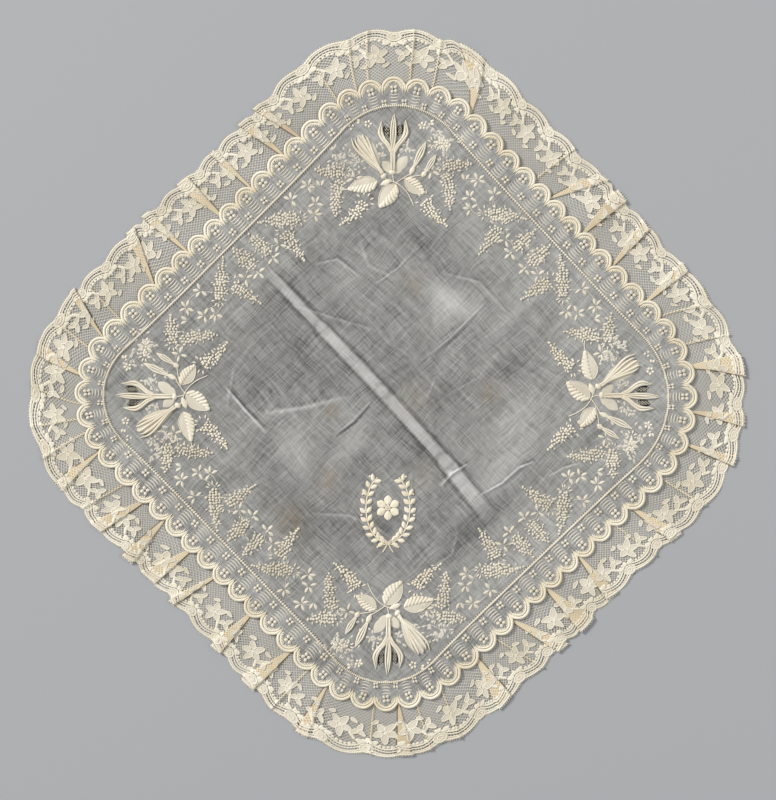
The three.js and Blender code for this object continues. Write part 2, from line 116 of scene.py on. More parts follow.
# x, y points, width and height of the linen's creases, ridges above 0 and grooves below
LINEN_CREASES = [
    ([(-42.6, 5.1), (-28, 3), (-11.2, 3.7)], 1.3, -0.7),
    ([(-42.6, 6.8), (-28, 4.7), (-11.2, 5.2)], 1.4, 0.6),
    ([(-64, 48), (-45, 34), (-20, 19)], 3, 0.75),
    ([(47.7, 58), (55, 56.4), (66.4, 55), (86, 55.6)], 1.3, 0.7),
    ([(40, -0.5), (56, -1.8), (67, -2), (88, -2)], 1.2, 0.75),
    ([(42, -3), (60, -4.2), (80, -4.4)], 1.4, -0.5),
    ([(-16.4, -66.9), (-6.1, -66), (5.2, -68.8)], 1.5, 1.25),
    ([(-1.6, -90), (12.6, -94), (27.8, -94.7), (36.8, -98.5)], 1.5, 1.25),
    ([(38, -113), (49, -116), (58, -121)], 1.4, 0.6), ([(-3, 88), (12, 60), (25, 36)], 1.6, 0.25),
    ([(-72, 78.6), (-73.4, 60), (-73.9, 41.2)], 1.5, 0.9),
    ([(28.5, 95), (40, 87.5), (43, 66.5)], 1.6, 0.45), ([(60, 86), (52, 70), (58, 52)], 2.2, 0.3),
    ([(30, -28), (52, -34), (74, -32)], 1.5, 0.3), ([(12, -22), (30, -14), (50, -16)], 1.3, 0.28),
    ([(-90, -20), (-74, -38), (-66, -60)], 1.8, 0.32),
    ([(-58, -70), (-40, -62), (-24, -46)], 1.6, 0.3),
    ([(-80, 70), (-60, 84), (-38, 88)], 1.7, 0.32), ([(84, 30), (96, 10), (94, -18)], 1.6, 0.3),
    ([(-30, -96), (-44, -104), (-70, -98)], 1.5, 0.3),
]

# x, y, half length, half width, turn in degrees and how much lighter or darker, of soft patches
LINEN_PATCHES = [
    (75, 15.5, 22, 8, 100, 0.85), (66, 14, 10, 8, 60, 0.5), (36, -28, 30, 14, -20, -0.7),
    (77, -44, 14, 9, 0, -0.75), (86, 56, 22, 7, 80, -0.7), (-24, -104, 34, 9, 5, -0.75),
    (-97, -17, 16, 12, 30, -0.6), (-20, 62, 34, 11, 88, -0.5), (18, 40, 40, 8, 92, -0.55),
    (-41, -5, 24, 7, 10, 0.5), (-70, 18, 18, 10, 60, 0.45), (12, -88, 26, 12, 10, 0.5),
    (-12, -26, 26, 7, 88, -0.45), (-58, 62, 26, 14, 40, -0.35), (48, -74, 24, 12, -10, 0.35),
    (-62, -54, 20, 14, 50, -0.4), (14, 96, 26, 12, 0, -0.35), (-4, -60, 12, 4, 90, -0.3),
]

# x, y, radius and depth of the linen's stains
LINEN_STAINS = [
    (-32.7, 18.7, 4.2, 0.95), (-68, -11, 8, 0.5), (64, 39.8, 7, 0.45), (50, -47, 8, 0.4),
    (-104, -13, 10, 0.55), (12, -14, 12, 0.25), (-20, -54, 9, 0.25),
]

# soft unevenness: the two lengths of a wave, its phase and its height
SOFT_WAVES = [
    (31, 47, 0.4, 0.16), (-23, 61, 1.7, 0.13), (57, -19, 2.6, 0.1), (14, 33, 0.9, 0.06),
    (-43, 12, 4.1, 0.06),
]

# fine wrinkles: the length of a wave, its turn, how far it is bent, and its height
WRINKLES = [
    (9, 0.35, 7, 0.16), (12, 1.25, 9, 0.2), (7.5, 2.3, 8, 0.12), (15, 2.9, 12, 0.22),
]


# ---- the linen's edge line
def edge_runs():
    """The arcs and straight lines of the linen's edge, in order, and its whole length."""
    turns = []
    for (x, y, r, _), (x2, y2, r2, _) in zip(CORNERS, CORNERS[1:] + CORNERS[:1]):
        gap = math.dist((x, y), (x2, y2))
        turns.append(math.atan2(y2 - y, x2 - x) - math.acos((r - r2) / gap))
    runs = []
    s = 0.0
    for i, (x, y, r, _) in enumerate(CORNERS):
        x2, y2, r2, _ = CORNERS[(i + 1) % 4]
        start, end = turns[i - 1], turns[i]
        while end < start:
            end += math.tau
        runs.append(("arc", s, (end - start) * r, x, y, r, start))
        s += (end - start) * r
        nx, ny = math.cos(end), math.sin(end)
        x1, y1 = x + r * nx, y + r * ny
        length = math.dist((x1, y1), (x2 + r2 * nx, y2 + r2 * ny))
        runs.append(("line", s, length, x1, y1, nx, ny))
        s += length
    return runs, s


RUNS, EDGE = edge_runs()
CORNER_S = np.array([corner[3] for corner in CORNERS])


def at_edge(s, v):
    """x, y at distance v outward from place s on the linen's edge line, for arrays."""
    s, v = np.broadcast_arrays(np.asarray(s, float) % EDGE, np.asarray(v, float))
    x, y = np.zeros(s.shape), np.zeros(s.shape)
    for kind, start, length, a, b, c, d in RUNS:
        here = (s >= start) & (s < start + length)
        along = s[here] - start
        if kind == "arc":
            turn = d + along / c
            x[here] = a + (c + v[here]) * np.cos(turn)
            y[here] = b + (c + v[here]) * np.sin(turn)
        else:
            x[here] = a - d * along + c * v[here]
            y[here] = b + c * along + d * v[here]
    return np.stack([x, y], -1)


def scallop_middles():
    """s of each scallop's tip. They lie a little closer together in the middle of a side."""
    sides = (np.roll(CORNER_S, -1) - CORNER_S) % EDGE
    t = np.arange(SCALLOPS_A_SIDE) / SCALLOPS_A_SIDE
    share = t + SCALLOP_SPREAD * np.sin(math.tau * t) / math.tau
    return (CORNER_S[:, None] + sides[:, None] * share).ravel()


TIPS = scallop_middles()
NEXT_TIPS = np.append(TIPS[1:], TIPS[0] + EDGE)
VALLEYS = (TIPS + NEXT_TIPS) / 2


def scallop_edge(s):
    """How far out the scalloped edge is at place s: 0 at a tip, -SCALLOP_DEPTH in a valley."""
    valleys = np.append(VALLEYS, VALLEYS[0] + EDGE)
    place = (np.asarray(s, float) - VALLEYS[0]) % EDGE + VALLEYS[0]
    i = np.clip(np.searchsorted(valleys, place, side="right"), 1, len(valleys) - 1)
    t = np.abs(2 * (place - valleys[i - 1]) / (valleys[i] - valleys[i - 1]) - 1)
    return -SCALLOP_DEPTH * t**2.4


def cord_place(s):
    """How far out the corded line is at place s: farther near a corner's middle."""
    away = np.abs(np.asarray(s, float)[..., None] - CORNER_S) % EDGE
    away = np.minimum(away, EDGE - away).min(-1)
    return CORD_V + CORD_BOW * np.exp(-((away / CORNER_REACH) ** 2))


# ---- heights of the linen
def from_line(x, y, ends):
    """How far each point is from a short straight line, and how far along it is, 0 to 1."""
    x1, y1, x2, y2 = ends
    length = math.dist((x1, y1), (x2, y2))
    ux, uy = (x2 - x1) / length, (y2 - y1) / length
    along = (x - x1) * ux + (y - y1) * uy
    over = np.maximum(0, np.maximum(-along, along - length))
    return np.hypot((y - y1) * ux - (x - x1) * uy, over), np.clip(along / length, 0, 1)


def fold_ends(y):
    """1 along the pressed fold, falling to 0 at its two ends."""
    low, high = (y - FOLD_SPAN[0]) / FOLD_FADES[0], (FOLD_SPAN[1] - y) / FOLD_FADES[1]
    return np.clip(low, 0, 1) * np.clip(high, 0, 1)


def fold_share(x, y):
    """1 on the broad pressed fold, 0 away from it, with the painted shade on its two sides."""
    on, fold_side_shade = np.zeros(x.shape), np.zeros(x.shape)
    for *ends, width, _ in LINEN_FOLDS:
        away, _ = from_line(x, y, ends)
        on = np.maximum(on, 1 / (1 + (away / (width * 0.47)) ** 12))
        fold_side_shade = np.maximum(fold_side_shade, np.exp(-(((away - width * 0.62) / 1.5) ** 2)))
    crest_lightness = 0.72 + 0.28 * np.sin(y / 13.0 + 0.6) ** 2
    return on * fold_ends(y) * crest_lightness, fold_side_shade * fold_ends(y)


def crease_height(x, y):
    total = np.zeros(x.shape)
    for points, width, height in LINEN_CREASES:
        best = np.zeros(x.shape)
        for k, (a, b) in enumerate(zip(points, points[1:])):
            away, along = from_line(x, y, (*a, *b))
            done = (k + along) / (len(points) - 1)
            size = np.sin(math.pi * np.clip(0.06 + 0.88 * done, 0, 1)) ** 0.6
            best = np.maximum(best, size * np.exp(-((away / (width * 0.6)) ** 2)))
        total += height * best
    return total


def wrinkle_height(x, y):
    """Thin bent ridges that come and go over the middle of the cloth."""
    total = np.zeros(x.shape)
    for k, (wave, turn, bend, size) in enumerate(WRINKLES):
        c, s = math.cos(turn), math.sin(turn)
        across = x * c + y * s + bend * np.sin(x / 23.0 + 1.7 * k) * np.cos(y / 19.0 - k)
        along = -x * s + y * c
        ridge = (0.5 + 0.5 * np.cos(math.tau * across / wave)) ** 3
        some = np.clip(np.sin(along / 17.0 + 2.1 * k) * np.sin(across / 29.0 + k) + 0.15, 0, 1)
        total += size * ridge * some
    return total


def linen_height(x, y):
    z = LINEN_Z + crease_height(x, y) + wrinkle_height(x, y)
    for across, along, phase, size in SOFT_WAVES:
        z += 0.8 * size * np.sin(x / across + y / along + phase)
    ridge = np.zeros(x.shape)
    for *ends, width, height in LINEN_FOLDS:
        away, _ = from_line(x, y, ends)
        ridge = np.maximum(ridge, height / (1 + (away / (width * 0.5)) ** 8))
    return np.maximum(z + ridge * fold_ends(y), 0.25)


# ---- lines and directions
def toward(way):
    """A step of 1 mm in a direction in radians."""
    return np.array([math.cos(way), math.sin(way)])


def beside(step):
    """A step of 1 mm to the right of another step."""
    return np.array([step[1], -step[0]]) / np.hypot(*step)


def turned(x, y, centre, turn):
    """Places x, y turned by an angle and moved to a centre."""
    c, s = math.cos(turn), math.sin(turn)
    return np.stack([centre[0] + c * x - s * y, centre[1] + s * x + c * y], -1)


def grid(points):
    """Places in mm from places on the sprays' drawing grid."""
    return np.array(points, float) * PX


def lengths(line):
    """How far along a line each of its points is."""
    return np.concatenate([[0], np.cumsum(np.linalg.norm(np.diff(line, axis=0), axis=1))])


def spread_out(values, count):
    """A few values, stretched evenly to a count of them."""
    return np.interp(np.linspace(0, 1, count), np.linspace(0, 1, len(values)), values)


def curve(points, steps):
    """A smooth line through a few points."""
    points = np.asarray(points, float)
    ends = np.vstack([2 * points[0] - points[1], points, 2 * points[-1] - points[-2]])
    line = []
    t = np.linspace(0, 1, steps, endpoint=False)[:, None]
    for a, b, c, d in zip(ends, ends[1:], ends[2:], ends[3:]):
        bent = (2 * a - 5 * b + 4 * c - d) * t**2 + (3 * b - a - 3 * c + d) * t**3
        line.append(0.5 * (2 * b + (c - a) * t + bent))
    return np.vstack(line + [points[-1:]])


def from_ends(t, widest):
    """0 at a leaf's two ends, 1 where it is widest."""
    return np.where(t < widest, t / widest, (1 - t) / (1 - widest))


def swell(t, widest):
    """A leaf's width at t along it, as a share of its widest."""
    return np.sin(from_ends(t, widest) * math.pi / 2) ** 0.85


# ---- making meshes
def link(obj):
    bpy.context.scene.collection.objects.link(obj)
    return obj


def make_mesh(name, points, faces, material, maps):
    """A smooth mesh from points in mm in the outline's axes. It rides on the root body."""
    points = (points - np.array([*MIDDLE, 0])) * MM
    mesh = bpy.data.meshes.new(name)
    mesh.from_pydata(points.tolist(), [], faces)
    mesh.shade_smooth()
    corners = np.zeros(len(mesh.loops), np.int32)
    mesh.loops.foreach_get("vertex_index", corners)
    for map_name, values in maps.items():
        layer = mesh.uv_layers.new(name=map_name)
        layer.data.foreach_set("uv", np.asarray(values, np.float32)[corners].ravel())
    mesh.materials.append(material)
    obj = link(bpy.data.objects.new(name, mesh))
    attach(obj, "root")
    return obj


ACROSS = np.array([-1.0, -0.72, 0.0, 0.72, 1.0])  # a thread's half-round section
ROUND = np.array([0.0, 0.68, 1.0, 0.68, 0.0])


class Drawing:
    """Many small raised forms, made into one mesh.

    Each form is a grid of places, with heights above the cloth and a thread map in mm. place
    turns its own axes into the axes of the surface that it is put on.
    """

    def __init__(self, place=None):
        self.place = place
        self.parts = []
        self.count = 0

    def add(self, places, heights, thread):
        if self.place:
            places = self.place(places)
        index = self.count + np.arange(heights.size).reshape(heights.shape)
        quads = np.stack([index[:-1, :-1], index[1:, :-1], index[1:, 1:], index[:-1, 1:]], -1)
        parts = (places.reshape(-1, 2), heights.ravel(), thread.reshape(-1, 2), quads.reshape(-1, 4))
        self.parts.append(parts)
        self.count += heights.size

    def make(self, name, material, slot, surface):
        places, heights, thread, faces = (np.concatenate(part) for part in zip(*self.parts))
        points = surface(places, heights)
        return make_mesh(name, points, faces.tolist(), material, {"thread": thread})

    def strand(self, line, width, lift, taper=0.35):
        """A half-round thread along a line. width and lift may change along it."""
        line = np.asarray(line, float)
        ahead = np.gradient(line, axis=0)
        ahead /= np.maximum(np.linalg.norm(ahead, axis=1), 1e-9)[:, None]
        side = np.stack([ahead[:, 1], -ahead[:, 0]], -1)
        size = np.ones(len(line))
        size[[0, -1]] = taper
        across = ACROSS * (np.asarray(width) * size / 2)[:, None]
        along = lengths(line)[:, None] + 0 * across
        places = line[:, None] + side[:, None] * across[..., None]
        self.add(places, ROUND * (lift * size)[:, None], np.stack([along, across], -1))

    def dome(self, centre, rx, ry, turn, lift, around=9, rings=(1.0, 0.82, 0.45, 0.02)):
        """A rounded knot or petal. lift is its height, or the heights of its rings."""
        angles = np.linspace(0, math.tau, around + 1)
        share = np.array(rings)[:, None]
        x, y = share * rx * np.cos(angles), share * ry * np.sin(angles)
        heights = np.reshape(lift, (-1, 1)) + 0 * x
        if np.ndim(lift) == 0:
            heights = heights * np.sqrt(np.maximum(0, 1 - share**2))
        self.add(turned(x, y, centre, turn), heights, np.stack([x, y], -1))

    def leaf(self, base, tip, half, widest=0.45, lift=0.5, long=13, wide=9, ribs=(0, 0, 0)):
        """A pointed leaf or petal. ribs are its stitches' count, lean and height in mm."""
        base, tip = np.asarray(base, float), np.asarray(tip, float)
        axis = tip - base
        t = np.linspace(0, 1, long)[:, None]
        across = np.linspace(-1, 1, wide)[None]
        near = from_ends(t, widest)
        out = across * half * swell(t, widest)
        count, lean, size = ribs
        stitches = size * np.cos(math.tau * (count * t - lean * np.abs(across)))
        rounded = np.sqrt(np.maximum(0, 1 - across**2))
        heights = lift * np.minimum(1, 2.2 * near) ** 0.5 + stitches * np.minimum(1, 3 * near)
        places = base + axis * t[..., None] + beside(axis) * out[..., None]
        self.add(places, rounded * heights, np.stack([t * np.hypot(*axis) + 0 * out, out], -1))


def on_linen(places, heights):
    x, y = places[:, 0], places[:, 1]
    return np.stack([x, y, linen_height(x, y) + SEAT + heights], -1)


# ---- materials
class Nodes:
    """A short way to write a material's nodes."""

    def __init__(self, name):
        self.material = bpy.data.materials.new(name)
        self.material.use_nodes = True
        self.tree = self.material.node_tree

    def wire(self, inputs, values):
        """Sets the inputs that values name, or links them where a value is another's output."""
        for key, value in values.items():
            if isinstance(value, bpy.types.NodeSocket):
                self.tree.links.new(value, inputs[key])
            else:
                inputs[key].default_value = value

    def node(self, kind, inputs, out=0, **settings):
        """One output of a new node, or several where out is a slice."""
        made = self.tree.nodes.new("ShaderNode" + kind)
        for key, value in settings.items():
            setattr(made, key, value)
        self.wire(made.inputs, inputs)
        return made.outputs[out]

    def sum(self, operation, *values):
        return self.node("Math", dict(enumerate(values)), operation=operation)

    def vector(self, operation, inputs):
        return self.node("VectorMath", inputs, operation=operation)

    add = partialmethod(sum, "ADD")
    minus = partialmethod(sum, "SUBTRACT")
    times = partialmethod(sum, "MULTIPLY")
    over = partialmethod(sum, "DIVIDE")
    plus = partialmethod(sum, "MULTIPLY_ADD")  # the first times the second, and the third added
    larger = partialmethod(sum, "MAXIMUM")
    smaller = partialmethod(sum, "MINIMUM")
    size = partialmethod(sum, "ABSOLUTE")

    def ramp(self, value, low, high, to_low=0.0, to_high=1.0):
        inputs = {0: value, 1: low, 2: high, 3: to_low, 4: to_high}
        return self.node("MapRange", inputs, interpolation_type="SMOOTHSTEP")

    def mix(self, factor, a, b):
        return self.node("Mix", {0: factor, 6: a, 7: b}, 2, data_type="RGBA")

    def noise(self, vector, scale, detail=3.0, rough=0.55):
        inputs = {"Vector": vector, "Scale": scale, "Detail": detail, "Roughness": rough}
        return self.node("TexNoise", inputs)

    def streaks(self, vector, scale, detail=3.0, rough=0.55, turn=0.0):
        """Noise with its own scale each way."""
        inputs = {"Vector": vector, "Scale": (*scale, 1), "Rotation": (0, 0, turn)}
        return self.noise(self.node("Mapping", inputs), 1.0, detail, rough)

    def pulled(self, vector, scale, reach):
        """A vector drawn a little out of line, differently from place to place."""
        pull = self.node("TexNoise", {"Vector": vector, "Scale": scale, "Detail": 2.0}, 1)
        pull = self.vector("SUBTRACT", {0: pull, 1: (0.5, 0.5, 0.5)})
        return self.vector("MULTIPLY_ADD", {0: pull, 1: (reach, reach, 0), 2: vector})

    def split(self, vector):
        return self.node("SeparateXYZ", {0: vector}, slice(3))

    def uv(self, name):
        return self.node("UVMap", {}, uv_map=name)

    def place(self):
        return self.node("TexCoord", {}, 3)

    def bump(self, height, strength, distance):
        return self.node("Bump", {"Height": height, "Strength": strength, "Distance": distance})

    def set(self, **values):
        """Sets the shader's own sockets, and gives the material."""
        named = {key.replace("_", " "): value for key, value in values.items()}
        self.wire(self.tree.nodes["Principled BSDF"].inputs, named)
        return self.material


def colour(*display):
    """Scene-linear colour from display values of 0 to 255."""
    shares = [c / 255 for c in display]
    return tuple(c / 12.92 if c < 0.0404 else ((c + 0.055) / 1.055) ** 2.4 for c in shares) + (1.0,)


def dimmed(tint, share):
    return tuple(c * share for c in tint[:3]) + (1.0,)


def linen_material():
    """Sheer lawn. The map tone_and_painted_light is (the pressed fold; lighter or darker patches, with
    painted highlight and painted shade along the ridges, painted light toward two sides and a paler
    border), and the map stains_and_fold_shade is (stains, the painted shade on the fold's two sides)."""
    m = Nodes("linen_lawn")
    place = m.place()
    tone_and_painted_light, stains_and_fold_shade = m.split(m.uv("tone_and_painted_light")), m.split(m.uv("stains_and_fold_shade"))
    # Threads of warp and weft, each an uneven streak, drawn a little out of line.
    drawn = m.pulled(place, 34.0, 0.007)
    weave = m.add(*(m.streaks(drawn, scale, 3.0, 0.7) for scale in ((1250, 42), (42, 1250))))
    slubs = m.add(*(m.streaks(drawn, scale, 4.0, 0.7) for scale in ((520, 22), (22, 520))))
    x, y, _ = m.split(place)
    border = m.ramp(m.larger(m.size(x), m.size(y)), 0.092, 0.122)
    base = m.mix(border, colour(147, 146, 143), colour(156, 155, 151))
    cloud = m.noise(place, 30.0, 5.0, 0.62)
    pale = m.streaks(drawn, (14, 52), 5.0, 0.65, turn=0.5)
    mottle = m.streaks(drawn, (330, 230), 4.0, 0.65)
    # How much lighter or darker than the plain cloth: each part, its middle and its strength.
    tone = 0.865
    for part, middle, strength in (
        (weave, 1.0, 1.35),
        (slubs, 1.0, 0.5),
        (cloud, 0.5, 0.55),
        (pale, 0.5, 0.9),
        (mottle, 0.5, 0.55),
        # The patches, with painted highlight and painted shade along the ridges and painted light toward
        # two sides; then the fold; then painted shade on the fold's two sides.
        (tone_and_painted_light[1], 0.0, 0.55),
        (tone_and_painted_light[0], 0.0, 0.72),
        (stains_and_fold_shade[1], 0.0, -0.42),
    ):
        tone = m.plus(m.minus(part, middle), strength, tone)
    base = m.vector("SCALE", {0: base, 3: m.larger(tone, 0.3)})
    ragged = m.times(stains_and_fold_shade[0], m.ramp(m.noise(place, 210.0), 0.35, 0.62, 0.3, 1.0))
    base = m.mix(m.times(ragged, 0.8), base, colour(138, 118, 88))
    height = m.plus(m.streaks(drawn, (260, 190)), 0.8, m.plus(slubs, 0.9, m.times(weave, 0.5)))
    normal = m.bump(height, 0.6, 0.0005)
    return m.set(Base_Color=base, Roughness=0.92, Normal=normal, Sheen_Weight=0.1, Specular_IOR_Level=0.2)


def thread_material(name, light, dark, pitch, flank_shade=0.3):
    """Cotton laid in close stitches across each form, with painted shade on its steep flanks, its strength
    given by the last argument.
    """
    m = Nodes(name)
    light, dark = colour(*light), colour(*dark)
    place = m.place()
    inputs = {"Vector": m.uv("thread"), "Scale": 1.0 / pitch / math.pi, "Distortion": 1.2, "Detail": 1.0}
    stitches = m.node("TexWave", inputs, 1, bands_direction="X")
    uneven = m.noise(place, 900.0)
    base = m.mix(m.ramp(m.noise(place, 35.0), 0.35, 0.7), light, dark)
    base = m.mix(m.times(m.minus(1.0, stitches), 0.22), base, dark)
    base = m.mix(m.ramp(uneven, 0.5, 0.75, 0.0, 0.25), base, dark)
    # Painted shade: the steeper a face, the darker it is.
    upward = m.split(m.node("NewGeometry", {}, 1))[2]
    base = m.mix(m.ramp(upward, 0.25, 0.92, flank_shade, 0.0), base, dimmed(dark, 0.3))
    normal = m.bump(m.plus(uneven, 0.6, stitches), 0.5, 0.0002)
    return m.set(Base_Color=base, Roughness=0.75, Normal=normal, Sheen_Weight=0.25, Specular_IOR_Level=0.25)


def plain_material(name, *display):
    m = Nodes(name)
    base = colour(*display)
    spots = m.ramp(m.noise(m.place(), 1200.0), 0.35, 0.7)
    return m.set(Base_Color=m.mix(spots, base, dimmed(base, 0.6)), Roughness=0.9)


def net_material():
    """Diamond net, closed up along the lace's edge. The map net is (length along, distance out)
    and the map rim is (distance from the outer edge, how far folded over, and below 0 painted
    shadow beside a fold's free edge), in mm."""
    m = Nodes("lace_net")
    net = m.uv("net")
    from_rim, fold, _ = m.split(m.uv("rim"))
    bent = m.split(m.pulled(net, 0.35, 0.4))
    u, d = m.over(bent[0], NET_LONG), m.over(bent[1], NET_WIDE)
    one, other = (m.sum("PINGPONG", way, 0.5) for way in (m.add(u, d), m.minus(u, d)))
    nearest = m.smaller(one, other)
    edge_near = m.ramp(from_rim, 5.6, 6.6, 1.0, 0.0)
    folded = m.larger(fold, 0.0)
    # Painted shadow where the map rim is below 0, beside a fold's free edge; there, as on a fold, the net
    # is closed up.
    pleat_shadow = m.ramp(fold, 0.0, -1.0, 0.0, 0.8)
    slack = m.streaks(net, (1.1, 0.05), 2.0)
    thick = m.plus(edge_near, 0.16, m.plus(slack, 0.11, 0.045))
    thick = m.plus(m.larger(folded, pleat_shadow), 0.36, thick)
    at_knots = m.minus(m.add(thick, 0.03), m.times(m.add(one, other), 0.55))
    alpha = m.ramp(m.larger(m.minus(thick, nearest), at_knots), -0.02, 0.02)
    # Two rows of short slits along the edge.
    slit = m.ramp(m.sum("PINGPONG", m.over(m.split(net)[0], 1.56), 0.5), 0.14, 0.18)
    for middle in (2.5, 4.2):
        away = m.size(m.minus(from_rim, middle))
        alpha = m.times(alpha, m.minus(1.0, m.times(m.ramp(away, 0.36, 0.48, 1.0, 0.0), slit)))
    aged = m.noise(m.place(), 18.0, 4.0, 0.6)
    base = m.mix(m.ramp(aged, 0.3, 0.7), colour(214, 206, 188), colour(192, 183, 162))
    base = m.mix(m.times(edge_near, 0.7), base, colour(204, 195, 174))
    base = m.mix(folded, base, colour(224, 209, 178))
    doubled = m.larger(m.ramp(nearest, 0.1, 0.3, 0.0, 0.7), m.ramp(aged, 0.45, 0.66, 0.0, 0.6))
    base = m.mix(m.times(folded, doubled), base, colour(172, 151, 118))
    # The colour of the painted shadow beside a fold's free edge.
    base = m.mix(pleat_shadow, base, colour(84, 75, 60))
    m.set(Base_Color=base, Roughness=0.85, Alpha=alpha, Normal=m.bump(alpha, 0.4, 0.0002))
    return m.set(Sheen_Weight=0.2, Specular_IOR_Level=0.2)


LINEN_CLOTH = linen_material()
WHITEWORK = thread_material("whitework_cotton", (241, 233, 214), (225, 213, 189), 0.5, 0.62)
EDGE_THREAD = thread_material("edge_cotton", (244, 235, 214), (226, 213, 185), 0.45, 0.4)
PALE_THREAD = thread_material("pale_cotton", (219, 213, 199), (199, 192, 177), 0.5)
DARNED = thread_material("darned_cotton", (220, 212, 194), (198, 190, 171), 0.8)
KNOTTED = thread_material("knotted_cotton", (228, 220, 202), (208, 198, 177), 0.5)
LACE_NET = net_material()
LACE_THREAD = thread_material("lace_cotton", (238, 231, 213), (220, 210, 188), 0.6, 0.5)
LACE_FIELD = thread_material("lace_field", (224, 216, 198), (205, 196, 175), 0.5)
# Grey and near-black discs of painted shade, in the worked and the cut holes.
WORKED_HOLE_SHADE = plain_material("worked_hole_shade", 92, 90, 86)
CUT_HOLE_SHADE = plain_material("cut_hole_shade", 22, 22, 21)


# ---- the linen sheet
GRID_STEP = 1.7
FOLD_STEP = 1.3
RIM_STEPS = (0, 0.3, 0.6, 0.85), (0, 0.15, 0.4, 0.7)  # from tip to valley and on to the next tip
# Lines of points beside a fold and a crease, in widths from its middle.
FOLD_LINES = np.array([-0.8, -0.64, -0.54, -0.46, -0.38, 0.38, 0.46, 0.54, 0.64, 0.8])
CREASE_LINES = np.array([-0.9, -0.5, 0.0, 0.5, 0.9])
# How strongly patches, and the painted highlight and painted shade along the ridges, count in the map
# tone_and_painted_light.
PALER, DARKER, RIDGE_HIGHLIGHT, RIDGE_SHADE = 1.35, 0.62, 2.4, 1.4


def points_inside(points, loop):
    """Which points are inside a closed convex loop listed anticlockwise."""
    inside = np.ones(len(points), bool)
    for a, b in zip(loop, np.roll(loop, -1, 0)):
        turn = (b[0] - a[0]) * (points[:, 1] - a[1]) - (b[1] - a[1]) * (points[:, 0] - a[0])
        inside &= turn > 0
    return inside


def beside_line(a, b, offsets):
    """Points along a line and beside it, so that the mesh follows a fold there."""
    a, b = np.array(a), np.array(b)
    length = np.hypot(*(b - a))
    line = a + (b - a) / length * np.arange(0, length, FOLD_STEP)[:, None]
    return (line[:, None] - beside(b - a) * offsets[None, :, None]).reshape(-1, 2)


def linen_places():
    """The sheet's places and how many are its rim, which comes first and in order."""
    s = [TIPS + k * (VALLEYS - TIPS) for k in RIM_STEPS[0]]
    s += [VALLEYS + k * (NEXT_TIPS - VALLEYS) for k in RIM_STEPS[1]]
    s = np.sort(np.concatenate(s))
    rim = at_edge(s, scallop_edge(s))
    side = np.arange(-175, 175, GRID_STEP)
    x, y = np.meshgrid(side, side)
    x = x + (np.arange(len(side))[:, None] % 2) * GRID_STEP / 2
    inside = np.stack([x.ravel(), y.ravel()], -1)
    loop = at_edge(np.linspace(0, EDGE, 400, endpoint=False), -SCALLOP_DEPTH - 1.0)
    s = np.linspace(0, EDGE, 560, endpoint=False)
    v = scallop_edge(s) * 0.5 - 1.2
    parts = [rim, inside[points_inside(inside, loop)], at_edge(s, v)[v < scallop_edge(s) - 0.6]]
    for *ends, width, _ in LINEN_FOLDS:
        parts.append(beside_line(ends[:2], ends[2:], width * FOLD_LINES))
    for points, width, _ in LINEN_CREASES:
        parts += [beside_line(a, b, width * CREASE_LINES) for a, b in zip(points, points[1:])]
    return np.concatenate(parts), len(rim)


def soft_spots(x, y, spots):
    total = np.zeros(x.shape)
    for sx, sy, long, wide, turn, amount in spots:
        c, s = math.cos(math.radians(turn)), math.sin(math.radians(turn))
        u, v = (x - sx) * c + (y - sy) * s, -(x - sx) * s + (y - sy) * c
        total += amount * np.exp(-((u / long) ** 2) - (v / wide) ** 2)
    return np.clip(total, -1, 1)


def painted_side_light_and_border(x, y):
    """How much paler the linen is in its worked border, and toward the two sides away from the key light,
    where it is painted light.
    """
    border = np.clip((np.maximum(np.abs(x), np.abs(y)) - BORDER_FROM) / 12, 0, 1)
    return 0.10 * x / 150 - 0.06 * y / 150 + 0.075 * border


def make_linen():
    places, on_rim = linen_places()
    found = delaunay_2d_cdt([Vector(p) for p in places], [], [list(range(on_rim))], 1, 1e-5)
    flat = np.array([tuple(p) for p in found[0]])
    faces = [list(f) for f in found[2]]
    x, y = flat.T
    # Painted highlight on the crest of each ridge and wrinkle, and painted shade on one side of it.
    crest_lightness, painted_ridge_shade = (
        crease_height(x - dx, y - dy) + 0.7 * wrinkle_height(x - dx, y - dy)
        for dx, dy in ((0, 0), (1.5, 0.4))
    )
    patches = soft_spots(x, y, LINEN_PATCHES)
    patches = np.where(patches > 0, PALER, DARKER) * patches
    stains = soft_spots(x, y, [(a, b, r, r, 0.0, depth) for a, b, r, depth in LINEN_STAINS])
    on, fold_side_shade = fold_share(x, y)
    tone_and_painted_light = np.stack([on, patches + RIDGE_HIGHLIGHT * crest_lightness - RIDGE_SHADE * painted_ridge_shade + painted_side_light_and_border(x, y)], -1)
    maps = {"tone_and_painted_light": tone_and_painted_light, "stains_and_fold_shade": np.stack([stains, fold_side_shade], -1)}
    points = np.column_stack([flat, linen_height(x, y)])
    return make_mesh("linen_cloth", points, faces, LINEN_CLOTH, maps)


linen = make_linen()
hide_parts("linen")


def sew(drawing, name, material):
    """Makes a drawing into one piece on the linen."""
    drawing.make(name, material, "linen", on_linen)


# ---- the scalloped border
LOW_RINGS = (1.0, 0.5, 0.02)
RUNG = ((-3.7, 0.4), (-1.9, -0.1), (0, -0.25), (1.9, -0.1), (3.7, 0.4))


def edge_place(start=0.0, mirror=1):
    """Takes places along the linen's edge from a start, and outward, to the outline's axes."""
    return lambda places: at_edge(start + mirror * places[..., 0], places[..., 1])


